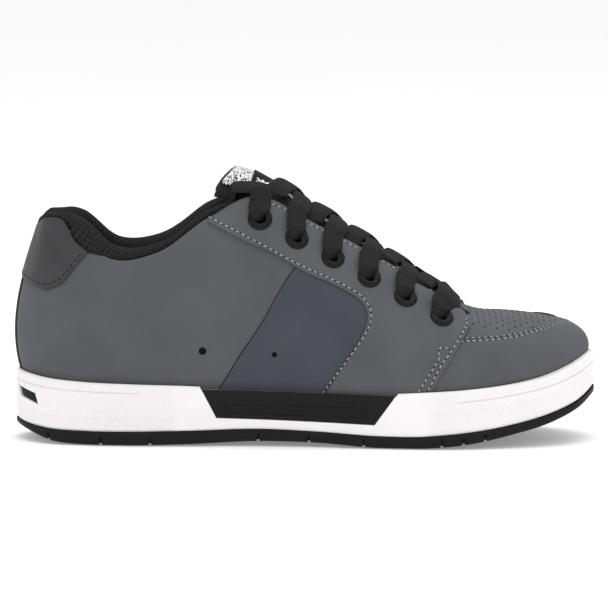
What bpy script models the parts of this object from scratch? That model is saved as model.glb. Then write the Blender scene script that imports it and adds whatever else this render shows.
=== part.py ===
"""Low skateboarding shoe for the left foot, standing empty on its sole.

The toe points to +X, the inner side of the foot is at -Y and the ground is z = 0.
The upper is worked out as a ring of ribs round the foot: each rib is one curve from
the cup's floor up to the edge of the opening, and every layer of the shoe is that
same form, grown or shrunk.
"""
import math
from collections import namedtuple

import bmesh
import bpy
import numpy as np
from mathutils import Matrix, Vector

# Driving sizes, in metres
LENGTH = 0.300
BALL_WIDTH = 0.105
UPPER_HEIGHT = 0.1275
SOLE_HEIGHT = 0.036
WALL = 0.0023
GAP = 0.0003
OVERLAY_THICKNESS = 0.0013
PANEL_THICKNESS = 0.0007
INSOLE_THICKNESS = 0.004
COLLAR_PAD = 0.0105
COLLAR_RISE = 0.0062
COLLAR_DEPTH = 0.036
TONGUE_THICKNESS = 0.0055
TONGUE_RISE = 0.0040
SOFT_GAP = 0.0008
LABEL_THICKNESS = 0.0008
LACE_WIDTH = 0.0100
LACE_THICKNESS = 0.0013
LACE_REACH = 0.0135
LACE_BAR_BULGE = 0.0085
LACE_END = (0.0110, 0.0060)
WINDOW_INSET = 0.0008
PANEL_INSET = 0.0001
EYELET_DIAMETER = 0.0127
EYELET_BORE = 0.0060
EYELET_HEIGHT = 0.0017
EYELET_COUNT = 6
# The wall is curved under the flat grommets
EYELET_SEAT = 0.0008
INSERT_DEPTH = 0.0020
INSERT_START = 0.0110
SLOT_DEPTH = 0.0008
TREAD_SLOT_WIDTH = 0.0016
TREAD_SLOT_HEIGHT = 0.0040
TREAD_DEPTH = 0.0015
BACK_STRIP_WIDTH = 0.0075

# Mesh steps
HALF_RING = 28
RIB_STEPS = 8
EYELET_SIDES = 10
HOLE_SIDES = 8
# Least distance between the rows of a layer above the rim, as a share of the rib
ROW_STEP = 0.006

# The sole, a row for each station from the heel to the toe. Along is a share of
# LENGTH, inner and outer are half widths as shares of BALL_WIDTH, and the rest are
# heights as shares of SOLE_HEIGHT, but groove and ledge, which are shares of the
# side wall between split and rim.
SoleRow = namedtuple("SoleRow", "along inner outer rim floor split base groove ledge")
SOLE = [SoleRow(*row) for row in (
    (0.000, 0.000, 0.000, 1.000, 0.444, 0.278, 0.208, 0.81, 0.29),
    (0.020, 0.180, 0.163, 0.980, 0.444, 0.250, 0.153, 0.81, 0.29),
    (0.060, 0.290, 0.264, 0.940, 0.444, 0.211, 0.039, 0.81, 0.29),
    (0.120, 0.348, 0.319, 0.905, 0.444, 0.194, 0.000, 0.81, 0.29),
    (0.200, 0.381, 0.357, 0.883, 0.444, 0.194, 0.000, 0.81, 0.29),
    (0.300, 0.381, 0.376, 0.858, 0.436, 0.211, 0.017, 0.81, 0.29),
    (0.420, 0.381, 0.405, 0.800, 0.417, 0.239, 0.061, 0.78, 0.35),
    (0.520, 0.414, 0.452, 0.778, 0.375, 0.214, 0.050, 0.75, 0.45),
    (0.620, 0.471, 0.495, 0.775, 0.342, 0.172, 0.000, 0.73, 0.53),
    (0.700, 0.500, 0.500, 0.806, 0.342, 0.172, 0.000, 0.73, 0.53),
    (0.780, 0.495, 0.471, 0.844, 0.389, 0.228, 0.056, 0.73, 0.53),
    (0.860, 0.443, 0.405, 0.917, 0.500, 0.333, 0.189, 0.73, 0.53),
    (0.920, 0.382, 0.333, 1.014, 0.640, 0.458, 0.319, 0.73, 0.53),
    (0.970, 0.267, 0.205, 1.153, 0.806, 0.611, 0.486, 0.73, 0.53),
    (0.992, 0.150, 0.080, 1.240, 0.910, 0.722, 0.605, 0.73, 0.53),
    (1.000, 0.040, -0.040, 1.272, 0.944, 0.764, 0.647, 0.73, 0.53),
)]

# The upper's ribs, at the same stations. Each rib leaves the cup's floor, tucked in
# from the sole's outline. Belly and rise carry its lower handle out and up, and
# ahead, crown and drop carry its upper handle forward, out and down from the top.
# Along and ahead are shares of LENGTH, half, tuck, belly and crown of BALL_WIDTH,
# and height, rise and drop of UPPER_HEIGHT.
RibRow = namedtuple("RibRow", "along half height tuck belly rise ahead crown drop")
RIBS = [RibRow(*row) for row in (
    (0.045, 0.000, 0.886, 0.119, 0.186, 0.25, 0.000, 0.148, 0.20),
    (0.050, 0.076, 0.898, 0.114, 0.176, 0.25, 0.000, 0.133, 0.20),
    (0.063, 0.162, 0.916, 0.105, 0.157, 0.25, 0.000, 0.114, 0.22),
    (0.103, 0.238, 0.851, 0.095, 0.133, 0.24, 0.000, 0.095, 0.22),
    (0.167, 0.286, 0.750, 0.090, 0.124, 0.235, 0.007, 0.076, 0.19),
    (0.247, 0.300, 0.775, 0.090, 0.124, 0.23, 0.013, 0.086, 0.20),
    (0.337, 0.286, 0.918, 0.090, 0.124, 0.235, 0.027, 0.124, 0.235),
    (0.420, 0.248, 1.000, 0.090, 0.129, 0.25, 0.033, 0.162, 0.235),
    (0.517, 0.214, 0.886, 0.090, 0.133, 0.25, 0.030, 0.181, 0.19),
    (0.627, 0.195, 0.741, 0.090, 0.133, 0.24, 0.027, 0.190, 0.12),
    (0.713, 0.176, 0.620, 0.092, 0.138, 0.22, 0.023, 0.210, 0.063),
    (0.758, 0.157, 0.559, 0.095, 0.143, 0.22, 0.033, 0.267, 0.039),
    (0.777, 0.114, 0.541, 0.097, 0.147, 0.22, 0.013, 0.362, 0.035),
    (0.783, 0.066, 0.538, 0.100, 0.152, 0.22, 0.004, 0.440, 0.031),
    (0.785, 0.030, 0.537, 0.100, 0.155, 0.22, 0.000, 0.485, 0.031),
    (0.786, 0.000, 0.537, 0.100, 0.157, 0.22, 0.000, 0.500, 0.031),
)]

# How far a rib's lower handle already leans towards its top
RIB_LEAN = 0.12

# The cup's side wall from its foot to its rim: the share of the wall's height, with
# the ledge and the groove placed by the sole's own columns, and the inset.
WALL_ROWS = (
    ("foot", 0.0, 0.0004),
    ("ledge", -0.05, 0.0),
    ("ledge", 0.0, 0.0006),
    ("groove", -0.04, 0.0006),
    ("groove", 0.0, 0.0013),
    ("groove", 0.04, 0.0006),
    ("rim", -0.04, 0.0008),
    ("rim", 0.0, 0.0013),
)

# Side views, as shares of LENGTH along and of UPPER_HEIGHT up
EYESTAY_OUTLINE = (
    (0.327, 0.914), (0.498, 0.718), (0.583, 0.609), (0.614, 0.540), (0.528, 0.220),
    (0.520, 0.100), (0.700, 0.100), (0.712, 0.227), (0.772, 0.443), (0.783, 0.496),
    (0.782, 0.547), (0.782, 0.700), (0.430, 1.200), (0.300, 1.100),
)
PANEL_OUTLINE = (
    (0.345, 0.225), (0.340, 0.100), (0.516, 0.100), (0.5225, 0.220), (0.6080, 0.538),
    (0.5800, 0.602), (0.4960, 0.710), (0.4780, 0.727),
)
HEEL_PATCH_OUTLINE = (
    (-0.030, 0.664), (0.010, 0.654), (0.037, 0.628), (0.060, 0.621), (0.087, 0.651),
    (0.128, 0.780), (0.150, 0.850), (0.130, 1.050), (-0.030, 1.050),
)
# Seen from above, as shares of LENGTH along and of BALL_WIDTH across
OLLIE_PATCH_OUTLINE = (
    (0.905, 0.030), (0.945, 0.045), (0.975, 0.100), (0.980, 0.200), (0.930, 0.400),
    (0.850, 0.520), (0.800, 0.560), (0.810, 0.400), (0.845, 0.230),
)
# Side views of the cup's inserts, as shares of LENGTH along and SOLE_HEIGHT up
ARCH_OUTLINE = (
    (0.328, 1.000), (0.328, 0.800), (0.352, 0.405), (0.617, 0.335), (0.655, 0.760),
    (0.655, 1.000),
)
ARCH_SLOT_OUTLINE = (
    (0.364, 0.590), (0.366, 0.500), (0.494, 0.475), (0.600, 0.430), (0.605, 0.550),
    (0.494, 0.590),
)
HEEL_WINDOW_OUTLINE = (
    (0.006, 0.800), (0.042, 0.745), (0.055, 0.600), (0.014, 0.690),
)
# Top line of the arch panels, at their heel end and at their toe end
ARCH_PANEL_TOP = (0.84, 0.80)

# Run of each layer round the ring, and where the layers stop below the opening's
# edge, as a share of the ribs
LAYER_RUNS = {
    "eyestay": (0.36, 0.93),
    "side_panel": (0.28, 0.74),
    "heel_patch": (-0.28, 0.28),
    "ollie_patch": (1.02, 1.32),
}
LAYER_HEAD = 0.985
OLLIE_HEAD = 0.90

# Side slots of the outsole, as shares of LENGTH
TREAD_SLOTS = (0.060, 0.150, 0.235, 0.420, 0.507, 0.600, 0.733, 0.770, 0.807)

# Lace row: the first and last eyelet along the side view, and their height, as
# shares of LENGTH and UPPER_HEIGHT
EYELET_TOP = (0.423, 0.910)
EYELET_FRONT = (0.732, 0.516)

# Padded collar: where the roll thins out towards the throat, as shares of the way
# from the heel to the toe round the ring
COLLAR_END = 0.455
COLLAR_TAPER = 0.10
# The roll's section: inwards from the wall's outer face as a share of COLLAR_PAD
# and up from its edge as a share of COLLAR_RISE, or down as a share of COLLAR_DEPTH
COLLAR_SECTION = (
    ("down", 0.00, 1.00), ("down", 0.00, 0.50), ("down", 0.00, 0.08),
    ("up", 0.02, 0.55), ("up", 0.25, 0.95), ("up", 0.60, 1.00), ("up", 0.92, 0.55),
    ("down", 1.00, 0.08), ("down", 0.90, 0.35), ("down", 0.50, 0.75),
    ("down", 0.22, 1.00),
)

# Tongue above the throat and below the vamp: along and crest height as shares of
# LENGTH and UPPER_HEIGHT, half width of BALL_WIDTH, drop of its edge of UPPER_HEIGHT
TongueRow = namedtuple("TongueRow", "along crest half drop")
TONGUE_TOP = [TongueRow(*row) for row in (
    (0.374, 1.105, 0.180, 0.060),
    (0.385, 1.095, 0.190, 0.065),
    (0.405, 1.065, 0.200, 0.075),
)]
TONGUE_FRONT = [TongueRow(*row) for row in (
    (0.795, 0.500, 0.140, 0.050),
    (0.825, 0.480, 0.110, 0.040),
)]
TONGUE_BOW = 2.2
# How far down the ribs the tongue's wings reach, as a share of the rib
TONGUE_WING = 0.92

# Finishes: colour, roughness and metallic value
FINISHES = {
    "grey_nubuck": ((0.125, 0.125, 0.140), 0.80, 0.0),
    "blue_grey_nubuck": ((0.075, 0.080, 0.092), 0.80, 0.0),
    "black_leather": ((0.035, 0.035, 0.038), 0.55, 0.0),
    "black_mesh": ((0.018, 0.018, 0.019), 0.90, 0.0),
    "white_rubber": ((0.82, 0.81, 0.81), 0.45, 0.0),
    "black_rubber": ((0.016, 0.016, 0.017), 0.60, 0.0),
    "black_lace": ((0.012, 0.012, 0.013), 0.85, 0.0),
    "woven_black": ((0.030, 0.030, 0.032), 0.85, 0.0),
    "foam": ((0.10, 0.10, 0.11), 0.90, 0.0),
}

# How far cutters reach past what they cut
SIDE_REACH = 0.8 * BALL_WIDTH
CUT_STAND = 0.004
PLUG_MARGIN = 0.02
PLUG_STEPS = 14

INNER, OUTER = 0, 1
PARTS = "skate_shoe"
CUTTERS = "cutters"


def clear_scene():
    for old in list(bpy.data.objects):
        bpy.data.objects.remove(old, do_unlink=True)


def make_collections():
    for name in (PARTS, CUTTERS):
        group = bpy.data.collections.new(name)
        bpy.context.scene.collection.children.link(group)


def finish_material(name):
    found = bpy.data.materials.get(name)
    if found:
        return found
    colour, roughness, metallic = FINISHES[name]
    material = bpy.data.materials.new(name)
    material.use_nodes = True
    shader = material.node_tree.nodes["Principled BSDF"]
    shader.inputs["Base Color"].default_value = (*colour, 1.0)
    shader.inputs["Roughness"].default_value = roughness
    shader.inputs["Metallic"].default_value = metallic
    material.diffuse_color = (*colour, 1.0)
    return material


def across_x(along):
    return (along - 0.5) * LENGTH


# Ring of stations: w runs from 0 at the heel to 1 at the toe along the inner side,
# and on to 2 back along the outer side
def station_knots():
    """Place of each station round the ring, by the length of the sole's edge."""
    spans = []
    for near, far in zip(SOLE, SOLE[1:]):
        step = (far.along - near.along) * LENGTH
        inner = math.hypot(step, (far.inner - near.inner) * BALL_WIDTH)
        outer = math.hypot(step, (far.outer - near.outer) * BALL_WIDTH)
        spans.append((inner + outer) / 2)
    total = sum(spans)
    return [sum(spans[:count]) / total for count in range(len(SOLE))]


KNOTS = station_knots()
RING_KNOTS = KNOTS + [2.0 - knot for knot in KNOTS[-2:0:-1]]


class RingCurve:
    """Smooth closed curve through one row of values for each ring station."""

    def __init__(self, rows):
        rows = np.array(rows, dtype=float)
        knots = np.array(RING_KNOTS)
        before = np.roll(rows, 1, axis=0)
        after = np.roll(rows, -1, axis=0)
        back = (knots - np.roll(knots, 1)) % 2.0
        ahead = (np.roll(knots, -1) - knots) % 2.0
        slope_back = (rows - before) / back[:, None]
        slope_ahead = (after - rows) / ahead[:, None]
        weight = (back / (back + ahead))[:, None]
        self.rows = rows
        self.knots = knots
        self.spans = ahead
        self.slopes = slope_back * (1 - weight) + slope_ahead * weight

    def at(self, w):
        w = w % 2.0
        index = int(np.searchsorted(self.knots, w, side="right")) - 1
        following = (index + 1) % len(self.rows)
        span = self.spans[index]
        t = (w - self.knots[index]) / span
        a, b = self.rows[index], self.rows[following]
        m, n = self.slopes[index] * span, self.slopes[following] * span
        return (a * (2 * t**3 - 3 * t**2 + 1) + m * (t**3 - 2 * t**2 + t)
                + b * (3 * t**2 - 2 * t**3) + n * (t**3 - t**2))


def ring_rows(row_of):
    """Values of each station, inner side from heel to toe and then the outer side."""
    last = len(SOLE) - 1
    rows = [row_of(index, INNER) for index in range(last + 1)]
    rows += [row_of(index, OUTER) for index in range(last - 1, 0, -1)]
    return rows


def outline_station(index, side):
    row = SOLE[index]
    half = -row.inner if side == INNER else row.outer
    return across_x(row.along), half * BALL_WIDTH


OUTLINE = RingCurve(ring_rows(outline_station))
HEIGHTS = RingCurve(ring_rows(lambda index, side: [
    getattr(SOLE[index], name) for name in ("rim", "floor", "split", "base")]))
LINES = RingCurve(ring_rows(lambda index, side: [SOLE[index].groove, SOLE[index].ledge]))


def outline_frame(w):
    """Point of the sole's outline and its outward direction, seen from above."""
    step = 1e-4
    x, y = OUTLINE.at(w)
    forward = OUTLINE.at(w + step) - OUTLINE.at(w - step)
    length = math.hypot(*forward)
    return np.array((x, y, 0.0)), np.array((forward[1], -forward[0], 0.0)) / length


def sole_heights(w):
    """Rim, floor, split and base heights; the base is flat where it meets the ground."""
    rim, floor, split, base = HEIGHTS.at(w) * SOLE_HEIGHT
    return rim, floor, split, max(base, 0.0)


def rib_controls(index, side):
    """Four control points of the rib at a station, as one row of twelve numbers."""
    row = RIBS[index]
    sign = -1.0 if side == INNER else 1.0
    ring = RING_KNOTS[index] if side == INNER else (2.0 - KNOTS[index])
    edge, outward = outline_frame(ring)
    floor = SOLE[index].floor * SOLE_HEIGHT
    foot = edge - outward * row.tuck * BALL_WIDTH + np.array((0, 0, floor))
    top = np.array((across_x(row.along), sign * row.half * BALL_WIDTH,
                    row.height * UPPER_HEIGHT))
    low = foot + outward * row.belly * BALL_WIDTH
    low = low + np.array((RIB_LEAN * (top[0] - foot[0]) * abs(outward[1]), 0,
                          row.rise * UPPER_HEIGHT))
    high = top + outward * row.crown * BALL_WIDTH
    high = high + np.array((row.ahead * LENGTH, 0, -row.drop * UPPER_HEIGHT))
    return np.concatenate((foot, low, high, top))


CONTROLS = RingCurve(ring_rows(rib_controls))


def rib_point(w, v):
    a, b, c, d = CONTROLS.at(w).reshape(4, 3)
    u = 1 - v
    return a * u**3 + 3 * b * u * u * v + 3 * c * u * v * v + d * v**3


def form_frame(w, v):
    """Point of the upper's outer face, its outward normal and its way up the rib."""
    step = 2e-4
    low, high = max(v - step, 0.0), min(v + step, 1.0)
    up = rib_point(w, high) - rib_point(w, low)
    round_way = rib_point(w + step, v) - rib_point(w - step, v)
    normal = np.cross(round_way, up)
    return rib_point(w, v), normal / np.linalg.norm(normal), up / np.linalg.norm(up)


def form_point(w, v, offset=0.0):
    point, normal, _ = form_frame(w, v)
    return point + normal * offset


def height_on_rib(w, height, offset=0.0):
    """Share of the rib at which a face of the form reaches a height."""
    low, high = 0.0, 0.8
    for _ in range(24):
        middle = (low + high) / 2
        if form_point(w, middle, offset)[2] < height:
            low = middle
        else:
            high = middle
    return low


def cup_point(w, height, inset):
    edge, outward = outline_frame(w)
    point = edge - outward * inset
    point[2] = height
    return point


# Meshes
def link_new(name, mesh, finish=None, group=PARTS):
    obj = bpy.data.objects.new(name, mesh)
    bpy.data.collections[group].objects.link(obj)
    if finish:
        mesh.materials.clear()
        mesh.materials.append(finish_material(finish))
    if group == CUTTERS:
        obj.hide_render = True
        obj.display_type = "WIRE"
    return obj


def mesh_from(bm, name, smooth=True):
    bmesh.ops.recalc_face_normals(bm, faces=bm.faces)
    mesh = bpy.data.meshes.new(name)
    bm.to_mesh(mesh)
    bm.free()
    if smooth:
        mesh.shade_smooth()
        mesh.set_sharp_from_angle(angle=math.radians(40))
    return mesh


def add_strip(bm, near, far):
    """Triangles between two closed loops, all split the same way, so layers match."""
    for index in range(len(near)):
        following = (index + 1) % len(near)
        bm.faces.new((near[index], near[following], far[following]))
        bm.faces.new((near[index], far[following], far[index]))


def ladder_cap(bm, ring):
    """Close a ring of the sole with strips from its inner to its outer side."""
    count = len(ring)
    half = count // 2
    for step in range(half):
        corners = [ring[step], ring[step + 1], ring[(count - step - 1) % count],
                   ring[(count - step) % count]]
        face = []
        for corner in corners:
            if corner not in face:
                face.append(corner)
        bm.faces.new(face)


def ring_loft(name, rings, capped=True):
    """Skin over closed rings, capped at both ends or joined from the last to the first."""
    bm = bmesh.new()
    loops = [[bm.verts.new(point) for point in ring] for ring in rings]
    pairs = list(zip(loops, loops[1:]))
    if not capped:
        pairs.append((loops[-1], loops[0]))
    for near, far in pairs:
        add_strip(bm, near, far)
    if capped:
        ladder_cap(bm, loops[0])
        ladder_cap(bm, loops[-1])
    return mesh_from(bm, name)


def section_loft(name, sections, smooth=True):
    """Skin over closed sections with a flat face at each end."""
    bm = bmesh.new()
    loops = [[bm.verts.new(point) for point in section] for section in sections]
    for near, far in zip(loops, loops[1:]):
        add_strip(bm, near, far)
    bm.faces.new(loops[0])
    bm.faces.new(loops[-1])
    return mesh_from(bm, name, smooth)


def ring_places():
    """Ring places, matched in pairs across the shoe, from the heel round to the heel."""
    side = [step / HALF_RING for step in range(HALF_RING + 1)]
    return side + [2.0 - w for w in side[-2:0:-1]]


RING = ring_places()


def prism(name, outline, axis, reach, low, high):
    """Cutter with an outline seen along an axis, between two places on that axis."""
    bm = bmesh.new()
    loop = []
    for along, up in outline:
        if axis == "Y":
            loop.append(bm.verts.new((across_x(along), low, up * reach)))
        else:
            loop.append(bm.verts.new((across_x(along), up * reach, low)))
    face = bm.faces.new(loop)
    moved = bmesh.ops.extrude_face_region(bm, geom=[face])
    verts = [item for item in moved["geom"] if isinstance(item, bmesh.types.BMVert)]
    way = (0, high - low, 0) if axis == "Y" else (0, 0, high - low)
    bmesh.ops.translate(bm, verts=verts, vec=way)
    return link_new(name, mesh_from(bm, name, smooth=False), group=CUTTERS)


def shell_patch(name, places, shares_of, low, high, point_of):
    """Closed sheet of a form between two offsets, over a run of ring places."""
    sections = []
    for w in places:
        shares = shares_of(w)
        section = [point_of(w, share, low) for share in shares]
        section += [point_of(w, share, high) for share in reversed(shares)]
        sections.append(section)
    bm = bmesh.new()
    loops = [[bm.verts.new(point) for point in section] for section in sections]
    count = len(loops[0])
    for near, far in zip(loops, loops[1:]):
        add_strip(bm, near, far)
    for loop in (loops[0], loops[-1]):
        for index in range(count // 2 - 1):
            bm.faces.new((loop[index], loop[index + 1],
                          loop[count - 2 - index], loop[count - 1 - index]))
    return mesh_from(bm, name)


def cut(obj, cutter, operation="DIFFERENCE"):
    """Boolean of one object by another, worked into its mesh."""
    modifier = obj.modifiers.new(cutter.name, "BOOLEAN")
    modifier.operation = operation
    modifier.object = cutter
    modifier.solver = "EXACT"
    bpy.context.view_layer.update()
    evaluated = obj.evaluated_get(bpy.context.evaluated_depsgraph_get())
    mesh = bpy.data.meshes.new_from_object(evaluated)
    obj.modifiers.remove(modifier)
    obj.data = mesh
    mesh.set_sharp_from_angle(angle=math.radians(40))
    return obj


def mirrored(places):
    return [2.0 - w for w in reversed(places)]


def above_rim(w):
    """Share of the rib just above the cup's rim."""
    return height_on_rib(w, sole_heights(w)[0] + 2 * GAP)


def leather_shares(head):
    """Rows of a layer on the upper: the wall's own rows, but none below the rim."""
    def shares_of(w):
        foot = above_rim(w)
        rows = [max(step / RIB_STEPS, foot + ROW_STEP * step) for step in range(1, RIB_STEPS)]
        return rows + [head]
    return shares_of


def cup_shares(w):
    return (-0.1, 0.35, 0.75, 1.2)


def ring_run(first, last):
    """The wall's own ring places between two places, from heel to toe or across them."""
    turns = [w - 2.0 for w in RING] + RING
    return sorted(w for w in set(turns) if first <= w <= last)


# Pieces
def build_outsole():
    rings = []
    for inset, height in ((0.0014, "base"), (0.0, "low"), (0.0, "split")):
        ring = []
        for w in RING:
            _, _, split, base = sole_heights(w)
            level = {"base": base, "low": base + 0.2 * (split - base), "split": split}
            ring.append(cup_point(w, level[height], inset))
        rings.append(ring)
    outsole = link_new("outsole", ring_loft("outsole", rings), "black_rubber")
    cutter = link_new("tread_cutter", tread_slots(), group=CUTTERS)
    return cut(outsole, cutter)


def place_along(x):
    """Ring place on the inner side whose outline reaches x."""
    low, high = 0.0, 1.0
    for _ in range(30):
        middle = (low + high) / 2
        if OUTLINE.at(middle)[0] < x:
            low = middle
        else:
            high = middle
    return low


def tread_slots():
    """Staples across the sole: shallow under it and tall at both sides."""
    bm = bmesh.new()
    reach = 0.6 * BALL_WIDTH
    for along in TREAD_SLOTS:
        x = across_x(along)
        w = place_along(x)
        base = sole_heights(w)[3]
        inner = OUTLINE.at(w)[1] + TREAD_DEPTH
        outer = OUTLINE.at(2.0 - w)[1] - TREAD_DEPTH
        low, shallow, tall = base - 0.002, base + TREAD_DEPTH, base + TREAD_SLOT_HEIGHT
        shape = ((-reach, low), (reach, low), (reach, tall), (outer, tall),
                 (outer, shallow), (inner, shallow), (inner, tall), (-reach, tall))
        loop = [bm.verts.new((x - TREAD_SLOT_WIDTH / 2, y, z)) for y, z in shape]
        face = bm.faces.new(loop)
        moved = bmesh.ops.extrude_face_region(bm, geom=[face])
        verts = [item for item in moved["geom"] if isinstance(item, bmesh.types.BMVert)]
        bmesh.ops.translate(bm, verts=verts, vec=(TREAD_SLOT_WIDTH, 0, 0))
    return mesh_from(bm, "tread_slots", smooth=False)


def build_midsole():
    rings = []
    base_of = ("foot", "ledge", "groove", "rim")
    for name, extra, inset in WALL_ROWS:
        ring = []
        for w in RING:
            rim, _, split, _ = sole_heights(w)
            groove, ledge = LINES.at(w)
            share = dict(zip(base_of, (0.0, ledge, groove, 1.0)))[name] + extra
            height = split + GAP + share * (rim - split - GAP)
            ring.append(cup_point(w, height, inset))
        rings.append(ring)
    for step in range(3, -1, -1):
        ring = []
        for w in RING:
            rim, floor, _, _ = sole_heights(w)
            share = height_on_rib(w, rim) * step / 3
            point = form_point(w, share, GAP)
            if step == 0:
                point[2] = floor - GAP
            ring.append(point)
        rings.append(ring)
    midsole = link_new("midsole", ring_loft("midsole", rings), "white_rubber")
    for side in ("inner", "outer"):
        for name, outline in (("arch", ARCH_OUTLINE), ("heel", HEEL_WINDOW_OUTLINE)):
            cut(midsole, wall_plug(f"{name}_recess_{side}", side, outline,
                                   INSERT_DEPTH + GAP, -CUT_STAND))
    return midsole


def cup_wall_point(w, share, offset):
    """Point off the cup's side wall, without its grooves."""
    rim, _, split, _ = sole_heights(w)
    return cup_point(w, split + share * (rim - split), -offset)


def grown(outline, reach, amount):
    """Outline grown from its own middle by a distance on each side."""
    alongs = [along for along, _ in outline]
    ups = [up for _, up in outline]
    centre = ((min(alongs) + max(alongs)) / 2, (min(ups) + max(ups)) / 2)
    size = ((max(alongs) - min(alongs)) * LENGTH, (max(ups) - min(ups)) * reach)
    scale = [1 + 2 * amount / extent for extent in size]
    return [(centre[0] + (along - centre[0]) * scale[0],
             centre[1] + (up - centre[1]) * scale[1]) for along, up in outline]


def wall_plug(name, side, outline, depth, stand, finish=None):
    """Piece of the cup's wall inside a side-view outline, from a depth to a stand."""
    alongs = [along for along, _ in outline]
    first = place_along(across_x(max(min(alongs) - PLUG_MARGIN, 0.0)))
    last = place_along(across_x(max(alongs) + PLUG_MARGIN))
    places = [first + (last - first) * step / PLUG_STEPS for step in range(PLUG_STEPS + 1)]
    edge = GAP if stand < 0 else 0.0
    low, high = -SIDE_REACH, edge - INSERT_START
    if side == "outer":
        places = mirrored(places)
        low, high = INSERT_START - edge, SIDE_REACH
    mesh = shell_patch(name, places, cup_shares, -depth, -stand, cup_wall_point)
    group = PARTS if finish else CUTTERS
    plug = link_new(name, mesh, finish, group)
    cutter = prism(f"{name}_outline", grown(outline, SOLE_HEIGHT, edge), "Y",
                   SOLE_HEIGHT, low, high)
    return cut(plug, cutter, "INTERSECT")


def build_inserts():
    for side in ("inner", "outer"):
        panel = wall_plug(f"arch_panel_{side}", side, ARCH_OUTLINE,
                          INSERT_DEPTH, PANEL_INSET, "black_rubber")
        heel_end, toe_end = ARCH_PANEL_TOP
        above = ((0.2, heel_end), (0.2, 1.2), (0.8, 1.2), (0.8, toe_end))
        cut(panel, prism(f"arch_panel_{side}_top", above, "Y", SOLE_HEIGHT,
                         -SIDE_REACH, SIDE_REACH))
        slot = wall_plug(f"arch_slot_{side}", side, ARCH_SLOT_OUTLINE,
                         SLOT_DEPTH, -CUT_STAND)
        cut(panel, slot)
        wall_plug(f"heel_window_{side}", side, HEEL_WINDOW_OUTLINE,
                  INSERT_DEPTH, WINDOW_INSET, "black_rubber")


def eyelet_places():
    """Ring place and rib share of each eyelet of the inner side."""
    places = []
    for index in range(EYELET_COUNT):
        share = index / (EYELET_COUNT - 1)
        x = across_x(EYELET_TOP[0] + (EYELET_FRONT[0] - EYELET_TOP[0]) * share)
        z = UPPER_HEIGHT * (EYELET_TOP[1] + (EYELET_FRONT[1] - EYELET_TOP[1]) * share)
        places.append(nearest_on_side(x, z))
    return places


def nearest_on_side(x, other, axis=2):
    """Ring place and rib share where the inner side has an x and one more coordinate."""
    w, v = 0.6, 0.85
    for _ in range(40):
        point = rib_point(w, v)
        step = 1e-4
        slope_w = (rib_point(w + step, v) - point) / step
        slope_v = (rib_point(w, v + step) - point) / step
        matrix = np.array(((slope_w[0], slope_v[0]), (slope_w[axis], slope_v[axis])))
        move = np.linalg.solve(matrix, (x - point[0], other - point[axis]))
        w = min(max(w + 0.6 * move[0], 0.02), 0.98)
        v = min(max(v + 0.6 * move[1], 0.05), 1.0)
    return w, v


EYELET_PLACES = eyelet_places()


def eyelet_frames():
    """Name, centre on the outer face and outward normal of every eyelet."""
    frames = []
    for index, (w, v) in enumerate(EYELET_PLACES):
        for side, place in (("inner", w), ("outer", 2.0 - w)):
            point, normal, _ = form_frame(place, v)
            frames.append((f"eyelet_{side}_{index + 1}", point, normal))
    return frames


def drill(name, diameter, segments):
    """Cutter with a round pin through the wall at every eyelet."""
    bm = bmesh.new()
    for _, point, normal in eyelet_frames():
        turn = Vector(normal).to_track_quat("Z", "Y").to_matrix().to_4x4()
        bmesh.ops.create_cone(bm, cap_ends=True, segments=segments, radius1=diameter / 2,
                              radius2=diameter / 2, depth=0.016,
                              matrix=Matrix.Translation(Vector(point)) @ turn)
    return link_new(name, mesh_from(bm, name, smooth=False), group=CUTTERS)


def build_upper():
    rings = []
    for layer in (0.0, -WALL):
        steps = range(RIB_STEPS + 1) if layer == 0.0 else range(RIB_STEPS, -1, -1)
        for step in steps:
            rings.append([form_point(w, step / RIB_STEPS, layer) for w in RING])
    upper = link_new("upper", ring_loft("upper", rings, capped=False), "grey_nubuck")
    return cut(upper, drill("lace_holes", EYELET_BORE + 2 * GAP, HOLE_SIDES))


def overlay(name, places, thickness, outline, finish, axis="Y", reach=UPPER_HEIGHT,
            head=LAYER_HEAD, low=-SIDE_REACH, high=SIDE_REACH):
    """Piece of leather lying on the upper inside an outline."""
    mesh = shell_patch(name, places, leather_shares(head), GAP, GAP + thickness, form_point)
    piece = link_new(name, mesh, finish)
    cutter = prism(f"{name}_outline", outline, axis, reach, low, high)
    return cut(piece, cutter, "INTERSECT")


def build_overlays():
    stay, panel, heel, toe = (ring_run(*run) for run in LAYER_RUNS.values())
    holes = drill("eyelet_seats", EYELET_DIAMETER + 3 * GAP, EYELET_SIDES)
    for side in ("inner", "outer"):
        turned = (lambda run: run) if side == "inner" else mirrored
        low, high = (-SIDE_REACH, -GAP) if side == "inner" else (GAP, SIDE_REACH)
        piece = overlay(f"eyestay_{side}", turned(stay), OVERLAY_THICKNESS,
                        EYESTAY_OUTLINE, "grey_nubuck", low=low, high=high)
        cut(piece, holes)
        overlay(f"side_panel_{side}", turned(panel), PANEL_THICKNESS,
                PANEL_OUTLINE, "blue_grey_nubuck", low=low, high=high)
    overlay("heel_patch", heel, OVERLAY_THICKNESS, HEEL_PATCH_OUTLINE, "black_leather")
    overlay("ollie_patch", toe, OVERLAY_THICKNESS, OLLIE_PATCH_OUTLINE, "black_leather",
            axis="Z", reach=BALL_WIDTH, head=OLLIE_HEAD, low=0.0, high=UPPER_HEIGHT)
    build_back_strip()


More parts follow.
